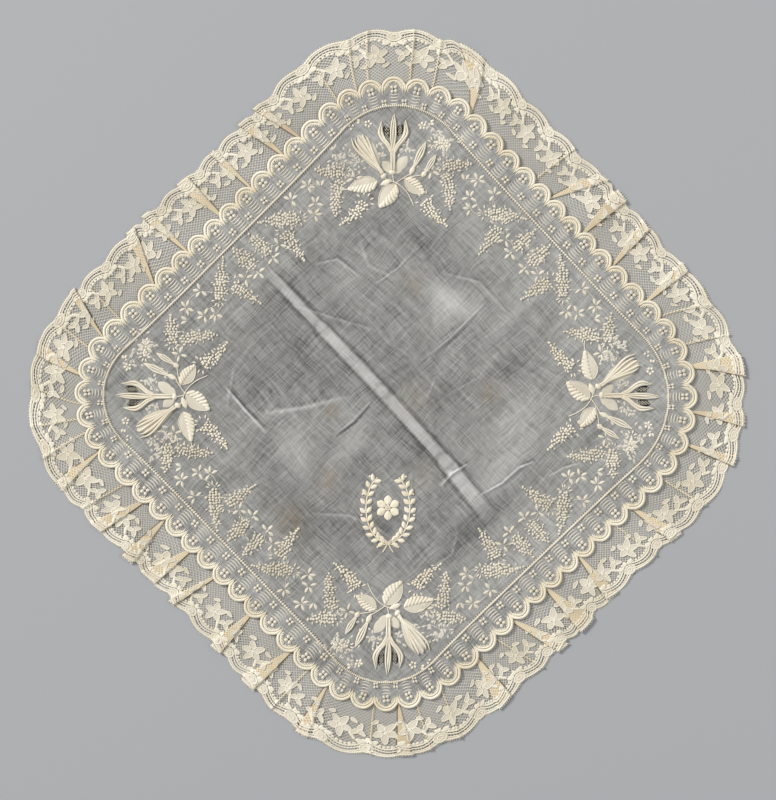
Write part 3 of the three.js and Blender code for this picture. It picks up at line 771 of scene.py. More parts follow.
def edge_cord(drawing, scallop, inset, widths, tail, lift):
    """One cord of a scallop's edge, valley to valley, with a tail inward at each end."""
    before, tip, valley = scallop
    along, inward = tail
    t = np.linspace(-0.98, 0.98, 23)
    s = np.where(t < 0, tip + t * (tip - before), tip + t * (valley - tip))
    v = scallop_edge(s)
    slope = np.gradient(v, s)
    size = np.hypot(slope, 1)
    line = np.stack([s + inset * slope / size, v - inset / size], -1)
    start, end = line[0, 1], line[-1, 1]
    first = [(before + along, start - inward), (before + along * 1.15, start - inward / 2)]
    last = [(valley - along * 1.15, end - inward / 2), (valley - along, end - inward)]
    line = np.vstack([first, line, last])
    width = np.full(len(line), widths[0])
    width[[0, 1, -2, -1]] = widths[1] * np.array([0.5, 1, 1, 0.5])
    drawing.strand(line, width, lift)


def floret(drawing, centre, reach, radius, turn):
    for k in range(4):
        way = turn + k * math.pi / 2
        spot = centre + reach * toward(way)
        drawing.dome(spot, radius * 1.06, radius * 0.94, way, 0.8, 10)


def make_border():
    rng = np.random.default_rng(7)
    edge, work, ladders = (Drawing(edge_place()) for _ in range(3))
    for scallop in zip(np.append(VALLEYS[-1] - EDGE, VALLEYS[:-1]), TIPS, VALLEYS):
        _, tip, valley = scallop
        edge_cord(edge, scallop, 0.75, (1.9, 1.1), (0.6, 3.8), 0.6)
        edge_cord(edge, scallop, 2.6, (1.2, 1.0), (1.6, 2.6), 0.38)
        # The fan of long stitches where two scallops meet.
        edge.strand([[valley, -5.0], [valley, -8.5], [valley, -11.2]], [1.0, 0.8, 0.3], 0.5)
        for way in (-1, 1):
            for k in range(7):
                at = valley + way * (1.7 + 0.86 * k)
                v = scallop_edge(at) - 2.6
                reach = (4.6 - 0.48 * k) * rng.uniform(0.75, 1.25)
                line = [[at, v], [at + way * 0.15, v - reach * 0.5], [at + way * 0.4, v - reach]]
                edge.strand(line, [0.95, 0.85, 0.3], 0.4)
        turn = rng.uniform(-0.2, 0.2)
        floret(work, (tip, FLOWER_V), 1.9, 1.3, math.pi / 4 + turn)
        floret(work, (valley, SMALL_FLOWER_V), 1.65, 1.12, math.pi / 4 - turn)
        # The ladder under the flower, with its rails.
        for rail in (-3.6, 3.6):
            ladders.strand([[tip + rail, -10.8], [tip + rail, -20.2]], 0.42, 0.16)
        for k in range(5):
            rung = [(tip + x, -11.6 - 2.02 * k + rise) for x, rise in RUNG]
            ladders.strand(rung, [0.6, 0.9, 0.9, 0.9, 0.6], 0.28)
    sew(edge, "edge_stitching", EDGE_THREAD)
    sew(work, "border_flowers", KNOTTED)
    sew(ladders, "border_ladders", PALE_THREAD)


def make_cord():
    """The beaded cord, and grey discs of painted shade in each pin-stitched hole inside it and in the
    eyelet of each flower.
    """
    hole_shade, cord = Drawing(edge_place()), Drawing(edge_place())
    for tip, valley in zip(TIPS, VALLEYS):
        hole_shade.dome((tip, FLOWER_V), 0.75, 0.75, 0, 0.03, 8, LOW_RINGS)
        hole_shade.dome((valley, SMALL_FLOWER_V), 0.6, 0.6, 0, 0.03, 8, LOW_RINGS)
    for s in (np.arange(PIN_HOLES) + 0.5) * EDGE / PIN_HOLES:
        hole_shade.dome((s, cord_place(s) - 1.3), 0.3, 0.3, 0, 0.02, 8, (1.0, 0.02))
    sew(hole_shade, "pin_hole_shade", WORKED_HOLE_SHADE)
    s = np.linspace(0, EDGE, PIN_HOLES * 2 + 1)
    cord.strand(np.stack([s, cord_place(s)], -1), 1.15, 0.5, taper=1)
    for s in np.arange(PIN_HOLES) * EDGE / PIN_HOLES:
        v = cord_place(s)
        cord.dome((s, v), 0.84, 0.88, 0, 0.95, 9, (1.0, 0.75, 0.4, 0.02))
        cord.strand([[s, v - 0.3], [s, v - 0.9], [s + 0.1, v - 1.5]], [0.75, 0.6, 0.3], 0.35)
    sew(cord, "corded_line", WHITEWORK)


make_border()
make_cord()


# ---- parts of the sprays
def along_line(line, steps, at):
    return np.array([np.interp(at, steps, line[:, 0]), np.interp(at, steps, line[:, 1])])


def point(drawing, spot, way, start, length, half):
    """One small pointed leaf that stands away from a spot."""
    base = spot + start * toward(way)
    drawing.leaf(base, base + length * toward(way), half, 0.42, 0.42, 6, 5)


def berries(drawing, path, widths, rng, leaves=5, lift=0.8):
    """A spray of small round knots along a path from its head, where pointed leaves stand."""
    line = curve(grid(path), 10)
    steps = lengths(line)
    total = steps[-1]
    spread = np.linspace(0, 1, len(widths))
    row = 0
    at = 0.4
    while at < total:
        centre = along_line(line, steps, at)
        ahead = along_line(line, steps, min(at + 0.5, total)) - along_line(line, steps, at - 0.5)
        width = np.interp(at / total, spread, widths) * PX * 0.86
        many = max(1, int(round(width * rng.uniform(0.78, 1.2) / (KNOT * KNOT_PITCH))))
        for k in range(many):
            stagger = KNOT * (0.5 if row % 2 else -0.5) * (many > 1)
            spot = centre + beside(ahead) * ((k - (many - 1) / 2) * KNOT * KNOT_PITCH + stagger)
            spot = spot + rng.normal(0, KNOT * 0.22, 2)
            r = KNOT * rng.uniform(0.85, 1.12)
            turn = rng.uniform(0, 3.1)
            drawing.dome(spot, r * 1.2, r * 0.92, turn, lift * rng.uniform(0.7, 1.1), 8)
        row += 1
        at += KNOT * 1.9
    head_way = math.atan2(*(line[0] - line[3])[::-1])
    for k in range(leaves):
        turn = (k - (leaves - 1) / 2) * 2.5 / max(leaves - 1, 1)
        way = head_way + turn + rng.normal(0, 0.12)
        point(drawing, line[0], way, widths[0] * PX * 0.45, 3.1, 0.6)
    for k, t in enumerate((0.22, 0.42, 0.6, 0.8)):
        spot = along_line(line, steps, t * total)
        width = np.interp(t, spread, widths) * PX
        for side in (-1, 1):
            way = head_way + side * (1.15 + 0.25 * (k % 2)) + rng.normal(0, 0.15)
            point(drawing, spot, way, width * 0.46, 2.3, 0.5)


def star(drawing, centre, ways, length=8.3, half=1.55, lift=0.42):
    """Small pointed leaves from one point of the grid. ways are in degrees."""
    for way in np.radians(ways):
        base = grid(centre) + toward(way) * 0.7
        tip = grid(centre) + toward(way) * length * PX
        drawing.leaf(base, tip, half * PX, 0.55, lift, 7, 5)


def twig(drawing, path, width=0.42, lift=0.2):
    drawing.strand(curve(grid(path), 8), width, lift)


def satin(drawing, points, widths, lift):
    """A padded cord through a few points on the grid, with its widths along it."""
    line = curve(grid(points), 9)
    width = spread_out(widths, len(line)) * PX
    drawing.strand(line, width, lift * np.minimum(1, width / 1.3))


def half_leaf(work, field, base, tip, half, count, widest=0.42):
    """A leaf with slanted padded stitches on its left half, and the other half flat."""
    base, tip, half = grid(base), grid(tip), half * PX
    axis = tip - base
    field.leaf(base, tip, half, widest, 0.3, 26, ribs=(12, LEAN, 0.1))
    width = np.hypot(*axis) / count * spread_out((0.7, 1.1, 0.75), 11)
    for k in range(count):
        t = (k + 0.25) / (count + 0.6)
        end = min(t + 0.2, 0.985)
        start = base + axis * t
        stop = base + axis * end - beside(axis) * half * swell(end, widest)
        middle = (start + stop) / 2 + axis * 0.02
        work.strand(curve([start, middle, stop], 5), width, 0.85, taper=0.5)
    rim = [base + axis * t + beside(axis) * half * swell(t, widest) for t in np.linspace(0, 1, 15)]
    work.strand(rim, 0.6, 0.4)
    work.strand([base, base + axis * 0.5, tip], 0.5, 0.4)


# ---- the corners
# The way outward in degrees, and how far the spray is moved across and outward, in mm.
SPRAY_PLACES = [(-45, 0, 0), (45, 3.5, 6.5), (135, 0, 0), (225, 0, 4.5)]

# All that follows is on the grid, across and outward from the cloth's middle. The cords of a
# crocus in flower, left of its middle, and of a closed one: points and widths.
CROCUS_CORDS = [
    ([(-2.6, 233), (-6, 240), (-11.5, 247), (-14.2, 254), (-11.5, 265)], (2, 2.6, 3, 2.8, 0.8)),
    ([(-2, 234), (-4.6, 241), (-9.6, 248), (-11.8, 254), (-11.2, 263)], (1.8, 2.2, 2.4, 2.2, 0.7)),
    ([(-1.5, 235), (-3.6, 241), (-8.2, 247), (-10.6, 253), (-11.2, 261)], (1.4, 1.8, 1.8, 1.6, 0.6)),
    ([(-0.6, 234), (-2, 244), (-2.4, 254), (-1.4, 263), (0.2, 271)], (1.8, 2, 2, 1.8, 0.7)),
    ([(-1.6, 215), (-1.9, 225), (-2.2, 235), (-3.6, 239)], (1.8, 2.2, 2.6, 2)),
]
CLOSED_CROCUS_CORDS = [
    ([(-11, 211), (-16, 218), (-24, 224.5), (-33, 232), (-39, 239), (-42, 248)],
     (2.2, 2.4, 2.8, 3, 2.4, 0.7)),
    ([(-10.5, 211.5), (-16, 219), (-24, 227), (-32, 235.5), (-37, 243), (-38, 247)],
     (1.6, 2.2, 3, 3.2, 2.4, 0.8)),
    ([(-10.5, 212), (-16, 220), (-22, 229), (-29, 239), (-34.5, 247), (-35, 250)],
     (1.4, 2, 3, 3.4, 2.6, 0.8)),
    ([(-10, 212.5), (-15.5, 220.5), (-20.5, 230), (-25.5, 240), (-30, 249), (-30, 252)],
     (1.4, 2, 3, 3.4, 2.4, 0.8)),
    ([(-9.5, 213), (-14.5, 220), (-18.5, 229), (-22, 238), (-25, 246), (-29, 251)],
     (2.2, 2.2, 2.6, 2.8, 2.2, 0.7)),
]

# The two buds: base, tip, half width and the foot of the calyx.
CROCUS_BUDS = [
    ((20, 218), (33, 244.5), 3.4, (16.5, 210.5)),
    ((31.5, 213), (43, 231.5), 2.9, (28.5, 208.5)),
]
STALKS = [
    [(-9, 208), (-4, 205), (1, 204), (4, 202)],
    [(17, 212), (10, 208), (3, 203)],
    [(30, 211), (20, 209.5), (10, 207)],
    [(2, 204), (10, 198), (16, 190), (20.5, 180)],
    [(-1, 212), (0, 207), (1, 203)],
    [(-45, 197), (-50, 196), (-56, 196.5)],
]
# Pale twigs behind, with the ways of their small leaves.
PALE_TWIGS = [
    ([(-66, 214), (-55, 226), (-42, 222), (-26, 226)], (60, 130, 20)),
    ([(-46, 236), (-52, 231), (-56, 225)], (120, 200, 60)),
    ([(5, 232), (12, 236), (16, 244)], (100, 20, -60)),
    ([(-20, 226), (-13, 229), (-9, 236)], (110, 30, 190)),
    ([(36, 234), (44, 238), (54, 232)], (80, 0, -70)),
    ([(28, 262), (38, 258), (46, 250)], (60, -30, 10)),
]
# Small flowers beside the corded line: middle, ways and length.
CORNER_STARS = [
    ((-42, 259), (30, 150, 270), 3.4),
    ((-25, 262), (0, 72, 144, 216, 288), 4.2),
    ((-32, 264), (150, 200), 5.0),
    ((29, 260), (20, 92, 164, 236, 308), 4.4),
    ((36, 263), (30, -20), 5.5),
]
# Where small pale leaves lie between the sprays: the middle, the half sizes and how many.
PALE_PATCHES = [
    ((-50, 231), (13, 8), 20), ((-33, 225), (9, 5), 9), ((-14, 236), (4, 7), 7),
    ((14, 238), (5, 7), 9), ((-38, 214), (9, 4), 8), ((24, 222), (5, 5), 5),
    ((40, 252), (12, 7), 7), ((63, 246), (7, 6), 8),
]


def corner_place(way, move_across, move_outward):
    """Takes a corner's own axes, across and outward from the cloth's middle, to the outline's."""

    def place(places):
        across, outward = places[..., 0] + move_across, places[..., 1] + move_outward
        return turned(outward, -across, (0, 0), math.radians(way))

    return place


def crocus_flower(work, hole_shade):
    """A crocus in flower: three horned petals with a net-filled hole, a dark disc of painted shade, between
    each two.
    """
    for side, lean in ((-1, 0.0), (1, 1.5)):
        for points, widths in CROCUS_CORDS:
            x, y = np.array(points, float).T
            x = -side * (x + 0.4) - 0.4 + lean * np.maximum(0, (y - 240) / 26)
            satin(work, np.stack([x, y + lean * (y > 258)], -1), widths, 1.25)
        centre = grid((-0.4 + side * 6.2 + lean * 0.6, 254.4 + lean))
        hole_shade.dome(centre, 2.35, 4.3, -side * 0.24, 0.03, 14, LOW_RINGS)
        for k in range(-2, 3):
            for way in (0.9, -0.9):
                middle = centre + np.array([0.0, k * 1.9])
                step = 2.3 * math.sqrt(max(0.05, 1 - (k / 2.5) ** 2)) * toward(way)
                work.strand([middle - step, middle + step], 0.27, 0.14, taper=0.8)
    satin(work, [(-0.5, 236), (-0.5, 248), (0, 258), (0.6, 268)], (1.6, 2.4, 2.8, 0.8), 0.85)
    satin(work, [(-0.8, 215), (-0.6, 226), (-0.4, 238)], (1.6, 1.8, 2.0), 0.9)
    work.dome(grid((-0.9, 213.5)), 2.3, 1.9, 0, 0.95, 12)


def crocus_bud(work, base, tip, half, foot):
    """A bud of three cords on a slanted calyx."""
    base, tip = np.array(base), np.array(tip)
    axis = tip - base
    for k in (-1, 0, 1):
        out = beside(axis) * k
        middle, upper = base + axis * 0.5 + out * half * 0.72, base + axis * 0.75 + out * half * 0.5
        satin(work, [base + out * 0.6, middle, upper, tip], (1.2, half * 0.68, half * 0.55, 0.5), 1.0)
    work.leaf(grid(foot), grid(base + axis * 0.12), 2.5 * PX, 0.5, 0.7, 22, ribs=(4, LEAN, 0.22))


def crocus_corner(work, pale, field, hole_shade, rng):
    """One corner's spray."""
    for tip, half in (((-11, 225), 4.4), ((14, 230), 5.2), ((9, 220), 3.6)):
        field.leaf(grid((0, 212)), grid(tip), half * PX, 0.6, 0.1, 24, ribs=(8, LEAN, 0.07))
    crocus_flower(work, hole_shade)
    field.leaf(grid((-13, 214)), grid((-35, 251)), 8.6 * PX, 0.62, 0.5, 20)
    for points, widths in CLOSED_CROCUS_CORDS:
        satin(work, points, widths, 1.25)
    work.dome(grid((-9.5, 210)), 2.3, 1.8, 0.9, 0.95, 12)
    for bud in CROCUS_BUDS:
        crocus_bud(work, *bud)
    half_leaf(work, field, (-15.5, 204.5), (-46, 196.5), 8.0, 8, 0.36)
    half_leaf(work, field, (3, 202), (-14, 178), 8.8, 7)
    half_leaf(work, field, (11.5, 206.5), (31.5, 192.5), 7.2, 7)
    work.leaf(grid((-1, 206)), grid((-13, 201)), 2.8 * PX, 0.5, 0.6, 16, ribs=(4, LEAN, 0.16))
    for path in STALKS:
        twig(work, path, 0.7, 0.42)
    for path, ways in PALE_TWIGS:
        twig(pale, path, 0.42, 0.18)
        line = curve(path, 10)
        for k, t in enumerate((0.15, 0.45, 0.75, 0.98)):
            spot = line[int(t * (len(line) - 1))]
            star(pale, spot, (ways[k % 3], ways[k % 3] + 140), 5.0, 1.15, 0.24)
    for centre, ways, length in CORNER_STARS:
        star(work, centre, ways, length, 1.4, 0.45)
    # The star of knots at the upper right, and the pair of sprays below.
    berries(work, [(40, 243), (49, 243), (58, 240)], (5, 9, 4), rng, 4, 0.5)
    star(pale, (49, 242), (20, 75, 115, 165, 230, 285, 330), 9.0, 1.7, 0.34)
    for path in ([(-29, 184), (-37, 173), (-54, 160)], [(32, 185), (38, 174), (54, 160)]):
        berries(work, path, (14, 12, 7, 3), rng)


def pale_leaves(pale, rng):
    for middle, reach, many in PALE_PATCHES:
        for _ in range(many):
            spot = np.array(middle) + np.array(reach) * rng.uniform(-1, 1, 2)
            way = rng.uniform(0, math.tau)
            tip = spot + rng.uniform(3.4, 5.6) * toward(way)
            pale.leaf(grid(spot), grid(tip), rng.uniform(0.9, 1.3) * PX, 0.5, 0.24, 6, 5)


def make_corners():
    rng = np.random.default_rng(11)
    drawings = work, pale, field, hole_shade = [Drawing() for _ in range(4)]
    for spray_place in SPRAY_PLACES:
        for drawing in drawings:
            drawing.place = corner_place(*spray_place)
        crocus_corner(*drawings, rng)
        pale_leaves(pale, rng)
    sew(work, "crocus_sprays", WHITEWORK)
    sew(pale, "pale_twigs", PALE_THREAD)
    sew(field, "leaf_fields", DARNED)
    sew(hole_shade, "cutwork_hole_shade", CUT_HOLE_SHADE)


# ---- the sides
# Sprays of each side, x along from its middle (mirrored) and v outward, on the grid: the path
# from head to tail, its widths, and leaves round the head.
SIDE_SPRAYS = [
    ([(10.5, -66), (10.5, -54), (10.5, -38)], (8, 14, 15, 13, 8, 3), 1),
    ([(57, -63), (50, -57), (40, -48), (23, -36)], (9, 15, 15, 10, 5, 3), 5),
    ([(37, -63), (33.5, -78), (30.5, -96)], (14, 14, 10, 6, 2.5), 5),
    ([(121, -61), (114, -54), (106, -45), (101, -38)], (9, 15, 13, 7, 3), 5),
    ([(113, -66), (103, -70), (92, -79), (82, -88)], (10, 14, 12, 8, 2.5), 4),
]
# Stars of small leaves: x, v, ways.
SIDE_STARS = [
    (64, -44, (112, 50, 350, 262)), (86, -46, (95, 150, 20, 300, 250)),
    (79, -64, (75, 20, 160, 300)), (70, -71, (100, 5, 250, 320)), (24, -67, (80, 200, 300)),
    (10.5, -72, (190, 350, 270)), (94, -56, (20, 75)), (124, -74, (60, 150, 240, 330)),
]
SIDE_TWIGS = [
    [(58, -52), (66, -44), (76, -42), (86, -45), (97, -55)],
    [(57, -66), (66, -64), (74, -62), (81, -62)], [(24, -66), (17, -64), (10.5, -68)],
    [(32, -58), (26, -62), (24, -66)], [(60, -70), (68, -71), (76, -68)],
    [(119, -62), (122, -70), (130, -74)],
]


def make_sides():
    rng = np.random.default_rng(19)
    work, pale = Drawing(), Drawing()
    middles = (TIPS[9::SCALLOPS_A_SIDE] + TIPS[10::SCALLOPS_A_SIDE]) / 2
    for middle in middles:
        for mirror in (-1, 1):
            work.place = pale.place = edge_place(middle, mirror)
            for path, widths, leaves in SIDE_SPRAYS:
                berries(work, path, widths, rng, leaves)
            for *centre, ways in SIDE_STARS:
                star(work, centre, ways)
            for path in SIDE_TWIGS:
                twig(pale, path)
    sew(work, "side_sprays", KNOTTED)
    sew(pale, "side_twigs", PALE_THREAD)


# ---- the wreath
def upright(places):
    """From axes that stand upright in the camera's view, in mm from the cloth's middle."""
    return turned(places[..., 0], places[..., 1], (0, 0), math.radians(-45))


def wreath_half(work, way):
    """A twig of leaves and berries on one side."""
    angles = np.radians(np.linspace(-93, 62, 10))
    path = np.stack([way * 14.5 * np.cos(angles), 23.0 * np.sin(angles)], -1) + WREATH_MIDDLE
    line = curve(path, 6)
    work.strand(line, 0.9, 0.5)
    for k in range(4, len(line) - 1, 5):
        ahead = line[k + 1] - line[k - 1]
        for side in (-1, 1):
            lean = 0.74 * ahead / np.hypot(*ahead) - 0.67 * side * beside(ahead)
            base = line[k] + lean * 0.5
            work.leaf(base, base + lean * 5.4, 1.5, 0.5, 0.7, 16, 7, (4, LEAN, 0.14))
        if k % 2:
            work.dome(line[k] + (line[k] - WREATH_MIDDLE) * 0.22, 0.8, 0.8, 0, 0.7)


def make_wreath():
    """A plain wreath of leaves round one flower, near one corner."""
    work = Drawing(upright)
    for way in (-1, 1):
        wreath_half(work, way)
    for k in range(6):
        ahead = toward(math.radians(30 + 60 * k))
        base, tip = WREATH_MIDDLE + ahead * 1.3, WREATH_MIDDLE + ahead * 8.4
        work.leaf(base, tip, 2.6, 0.6, 0.7, 16, ribs=(0, 1.5, 0.14))
    for k in range(7):
        spot = WREATH_MIDDLE + (0 if k == 6 else 1.2) * toward(math.tau * k / 6)
        work.dome(spot, 0.75, 0.75, 0, 0.95)
    for way in (-1, 1):
        bow = [(0, -23), (way * 3.2, -21.0), (way * 4.6, -24.5), (0, -23.4)]
        work.strand(curve(WREATH_MIDDLE + bow, 7), 0.9, 0.6)
        tail = [(0, -23.2), (way * 2.0, -27.0), (way * 3.6, -29.5)]
        work.strand(curve(WREATH_MIDDLE + tail, 6), 0.9, 0.5)
    sew(work, "plain_wreath", EDGE_THREAD)


make_corners()
make_sides()
make_wreath()

# ---- the lace
# inner place, outer place, outer width, inner width, and whether the free fold is at the start
FRILL_FOLDS = [(inner, outer, width, root, start) for outer, inner, width, root, start in PLEATS]
FRILL_FOLDS = sorted(FRILL_FOLDS + [(inner, outer, 0, 0, True) for outer, inner in CREASES])


def pleat_curve(width, radius, fall_length):
    """s and z across a pleat's three layers, and how far it is folded over. Below 0 that is
    how strong the painted shadow is on the layer underneath, beside the free edge."""
    r = min(radius, width * 0.45)
    a, b = -width / 2, width / 2
    turn = np.linspace(-math.pi / 2, math.pi / 2, 6)
    lead = np.append([a - 1.3, a - 0.8, a - 0.3], np.linspace(a + 0.2, b - r, 5)[:-1])
    back = np.linspace(b - r, a + r, 7)[1:-1]
    top = np.linspace(a + r, b + 0.3, 8)[1:]
    slope = np.linspace(0, 1, 7)[1:]
    fall = 1 - slope * slope * (3 - 2 * slope)
    parts = [
        (lead, 0 * lead, np.append([0, -0.6], 0 * lead[2:] - 1)),
        (b - r + r * np.cos(turn), r + r * np.sin(turn), 0 * turn + 1),
        (back, 0 * back + 2 * r, 0 * back + 1),
        (a + r - r * np.cos(turn), 3 * r + r * np.sin(turn), 0 * turn + 1),
        (top, 0 * top + 4 * r, 0 * top + 1),
        (b + 0.3 + fall_length * slope, 4 * r * fall, fall**3),
    ]
    return [np.concatenate(part) for part in zip(*parts)]


def crease_curve(height):
    s = np.array([-1.7, -1.2, -0.85, -0.5, -0.2, 0.15, 0.45, 0.8, 1.6])
    # How far folded over, and below 0 painted shadow beside the crease.
    folded = np.array([0, -0.3, -0.6, 0.4, 0.75, 0.7, 0.4, 0.1, 0])
    return s, height * np.exp(-((s / 0.75) ** 2)), folded


def fold_line(fold, v):
    """s, z and folding of one fold at distance v, where folding below 0 is painted shadow."""
    inner, outer, width, root, start = fold
    share = (v + SCALLOP_DEPTH) / (FRILL_WIDTH + SCALLOP_DEPTH)
    place = inner + (outer - inner) * share
    if width == 0:
        s, z, folded = crease_curve(0.25 + 0.75 * max(0.0, share))
    else:
        rise = 0.09 + 0.15 * min(1.0, max(0.0, v / 14.0))
        overlap = root * 0.5 + (width * 1.12 - root * 0.5) * share
        s, z, folded = pleat_curve(max(overlap, 0.35), rise, 0.4 + 1.3 * share)
    if start:
        return place + s, z, folded
    return place - s[::-1], z[::-1], folded[::-1]


def lace_row(v):
    """s, z and folding all round the lace at distance v: each fold, and the run after it.
    Folding below 0 is painted shadow.
    """
    parts = []
    for fold, after in zip(FRILL_FOLDS, FRILL_FOLDS[1:] + FRILL_FOLDS[:1]):
        turn = EDGE if after is FRILL_FOLDS[0] else 0
        run = fold_line(after, 0)[0][0] + turn - fold_line(fold, 0)[0][-1]
        many = max(1, int(round(run / LACE_STEP)))
        part = np.arange(1, many) / many
        parts.append(fold_line(fold, v))
        end, start = parts[-1][0][-1], fold_line(after, v)[0][0] + turn
        parts.append((end + (start - end) * part, 0 * part, 0 * part))
    return [np.concatenate(part) for part in zip(*parts)]


def between_arcs(along):
    """0 at the top of an arc of the lace's edge, 1 between two arcs."""
    return 1 - np.abs(np.sin(math.pi * along / LACE_REPEAT))


def arc_dip(along):
    """How much farther inward the edge's inner lines run, between two arcs."""
    return 2.4 * between_arcs(along)


class Lace:
    """The lace's surface as a grid: columns along its length, rows from under the linen outward."""

    def __init__(self):
        far_s, far_z, self.folded = lace_row(MID_FRILL)
        along = lengths(np.stack([far_s, far_z], -1))
        whole = along[-1] + far_s[0] + EDGE - far_s[-1]
        self.length = round(whole / LACE_REPEAT) * LACE_REPEAT
        self.along = along * self.length / whole
        self.edge = FRILL_WIDTH + FRILL_WAVE * np.sin(math.tau * 7 * far_s / EDGE)
        self.edge -= LACE_ARC_DEPTH * between_arcs(self.along)
        self.edge += (0.45 + 0.5 * np.sin(far_s / 11.0)) * (self.folded > 0.95)
        self.v = np.linspace(0, 1, LACE_ROWS) * (self.edge[:, None] + LACE_UNDER) - LACE_UNDER
        levels = np.linspace(-LACE_UNDER, FRILL_WIDTH + 2, 34)
        s, z, _ = (np.array(table).T for table in zip(*map(lace_row, levels)))
        s, z = (
            np.array([np.interp(v, levels, column) for v, column in zip(self.v, table)])
            for table in (s, z)
        )
        place = at_edge(s, self.v)
        x, y = place[..., 0], place[..., 1]
        out = np.clip(self.v / FRILL_WIDTH, 0, 1)
        lift = 0.3 * np.sin(x / 9.0 + y / 13.0) + 0.25 * np.sin(x / 17.0 - y / 7.0 + 1.0)
        height = 0.28 + (0.3 + 0.8 * lift) * out + z
        self.points = np.concatenate([place, height[..., None]], -1)

    def rim(self, along):
        """The outer edge's distance at a length along the lace."""
        columns, edge = np.append(self.along, self.length), np.append(self.edge, self.edge[0])
        return np.interp(along % self.length, columns, edge)

    def at(self, places, heights):
        """Points at (length along, distance out from the linen's edge line), lifted by heights."""
        along = places[:, 0] % self.length
        columns = np.append(self.along, self.length)
        points = np.concatenate([self.points, self.points[:1]])
        i = np.clip(np.searchsorted(columns, along, side="right") - 1, 0, len(columns) - 2)
        row = (places[:, 1] + LACE_UNDER) / (self.rim(along) + LACE_UNDER) * (LACE_ROWS - 1)
        row = np.clip(row, 0, LACE_ROWS + 2)
        j = np.clip(row.astype(int), 0, LACE_ROWS - 2)
        part = ((along - columns[i]) / (columns[i + 1] - columns[i]))[:, None]
        down = (row - j)[:, None]
        a = points[i, j] * (1 - down) + points[i, j + 1] * down
        b = points[i + 1, j] * (1 - down) + points[i + 1, j + 1] * down
        found = a * (1 - part) + b * part
        found[:, 2] += heights + LACE_SEAT
        return found

    def make(self):
        index = np.arange(self.v.size).reshape(self.v.shape)
        index = np.vstack([index, index[:1]])
        quads = np.stack([index[:-1, :-1], index[:-1, 1:], index[1:, 1:], index[1:, :-1]], -1)
        along, folded = (part[:, None] + 0 * self.v for part in (self.along, self.folded))
        inward = self.edge[:, None] - self.v
        inward = inward - arc_dip(along) * np.minimum(1, inward / 3)
        maps = {
            "net": np.stack([along, self.v], -1).reshape(-1, 2),
            "rim": np.stack([inward, folded], -1).reshape(-1, 2),
        }
        points, faces = self.points.reshape(-1, 3), quads.reshape(-1, 4).tolist()
        obj = make_mesh("lace_net", points, faces, LACE_NET, maps)
        # The last column of faces runs on past the joint, so its map is mended here.
        layer = obj.data.uv_layers["net"]
        values = np.zeros(len(obj.data.loops) * 2, np.float32)
        layer.data.foreach_get("uv", values)
        u = values.reshape(-1, 4, 2)[..., 0]
        crossing = u.max(1) - u.min(1) > self.length / 2
        u += np.where(crossing[:, None] & (u < self.length / 2), self.length, 0)
        layer.data.foreach_set("uv", values)
        return obj


# ---- the worked parts of the lace
def rimmed(drawing, field, centre, rx, ry, turn, width=0.75, lift=0.38, wave=0.0, phase=0.0):
    """A flat worked form within a raised outline. wave makes three lobes of it."""
    angles = np.linspace(0, math.tau, 15)
    ragged = 1 + wave * np.cos(3 * angles + phase)
    c, s = ragged * np.cos(angles), ragged * np.sin(angles)
    share = np.array([[1.0], [0.6], [0.02]])
    x, y = share * rx * c, share * ry * s
    heights = np.array([[0.12], [0.15], [0.15]]) + 0 * x
    field.add(turned(x, y, centre, turn), heights, np.stack([x, y], -1))
    inset = width * 0.4
    drawing.strand(turned((rx - inset) * c, (ry - inset) * s, centre, turn), width, lift, taper=1)


def pad(drawing, field, spot, way, reach, long, wide, rng):
    """One lobe of clothwork, with a raised rim and a sunk middle."""
    turn = way + rng.uniform(-0.25, 0.25)
    phase = rng.uniform(-0.9, 0.9)
    rimmed(drawing, field, spot + reach * toward(way), long, wide, turn, wave=0.13, phase=phase)


def fan(drawing, field, u, rim):
    """The rounded fan between two arcs, a ring within it and three lobes under it."""
    rimmed(drawing, field, (u, rim - 2.7), 4.1, 3.1, 0, 0.9, 0.36)
    rimmed(drawing, field, (u, rim - 2.7), 2.0, 1.6, 0, 0.85, 0.42)
    rings, heights = (1.0, 0.84, 0.6, 0.3, 0.02), (0, 0.3, 0.34, 0.3, 0.28)
    for x, inward, long, wide, turn in (
        (-4.0, 6.7, 2.4, 1.45, 0.25),
        (4.0, 6.7, 2.4, 1.45, -0.25),
        (0, 7.4, 1.7, 1.3, 0),
    ):
        drawing.dome((u + x, rim - inward), long, wide, turn, heights, 14, rings)


def sprig(drawing, field, u, rng):
    """One flower of five lobes with its stalk, a bunch of three leaves and two small ones."""
    d = 14.4 + rng.uniform(-0.4, 0.4)
    tilt = rng.uniform(-0.25, 0.25)
    for k in range(5):
        way = math.radians(96 + 72 * k) + tilt
        pad(drawing, field, (u, d), way, 3.9, 3.1 + 0.5 * math.cos(2.1 * k), 2.15, rng)
    drawing.dome((u, d), 1.2, 1.2, 0, (0.2, 0.42, 0.3, 0.2), 14, (1.0, 0.7, 0.3, 0.02))
    stalk = curve([(u + 5.6, d + 2.4), (u + 7.2, d + 4.4), (u + 9.2, d + 6.8)], 6)
    drawing.strand(stalk, 1.8, 0.34)
    for x, y, way, reach, long, wide in (
        (10.3, 0.4, 2.5, 2.1, 2.7, 1.6),
        (10.3, 0.4, 0.6, 2.5, 2.7, 1.6),
        (10.3, 0.4, -1.1, 2.4, 2.7, 1.6),
        (7.2, -5.6, 0.3, 0.0, 2.4, 1.25),
        (-5.6, -6.6, 2.7, 0.0, 2.3, 1.2),
    ):
        pad(drawing, field, (u + x, d + y), way, reach, long, wide, rng)


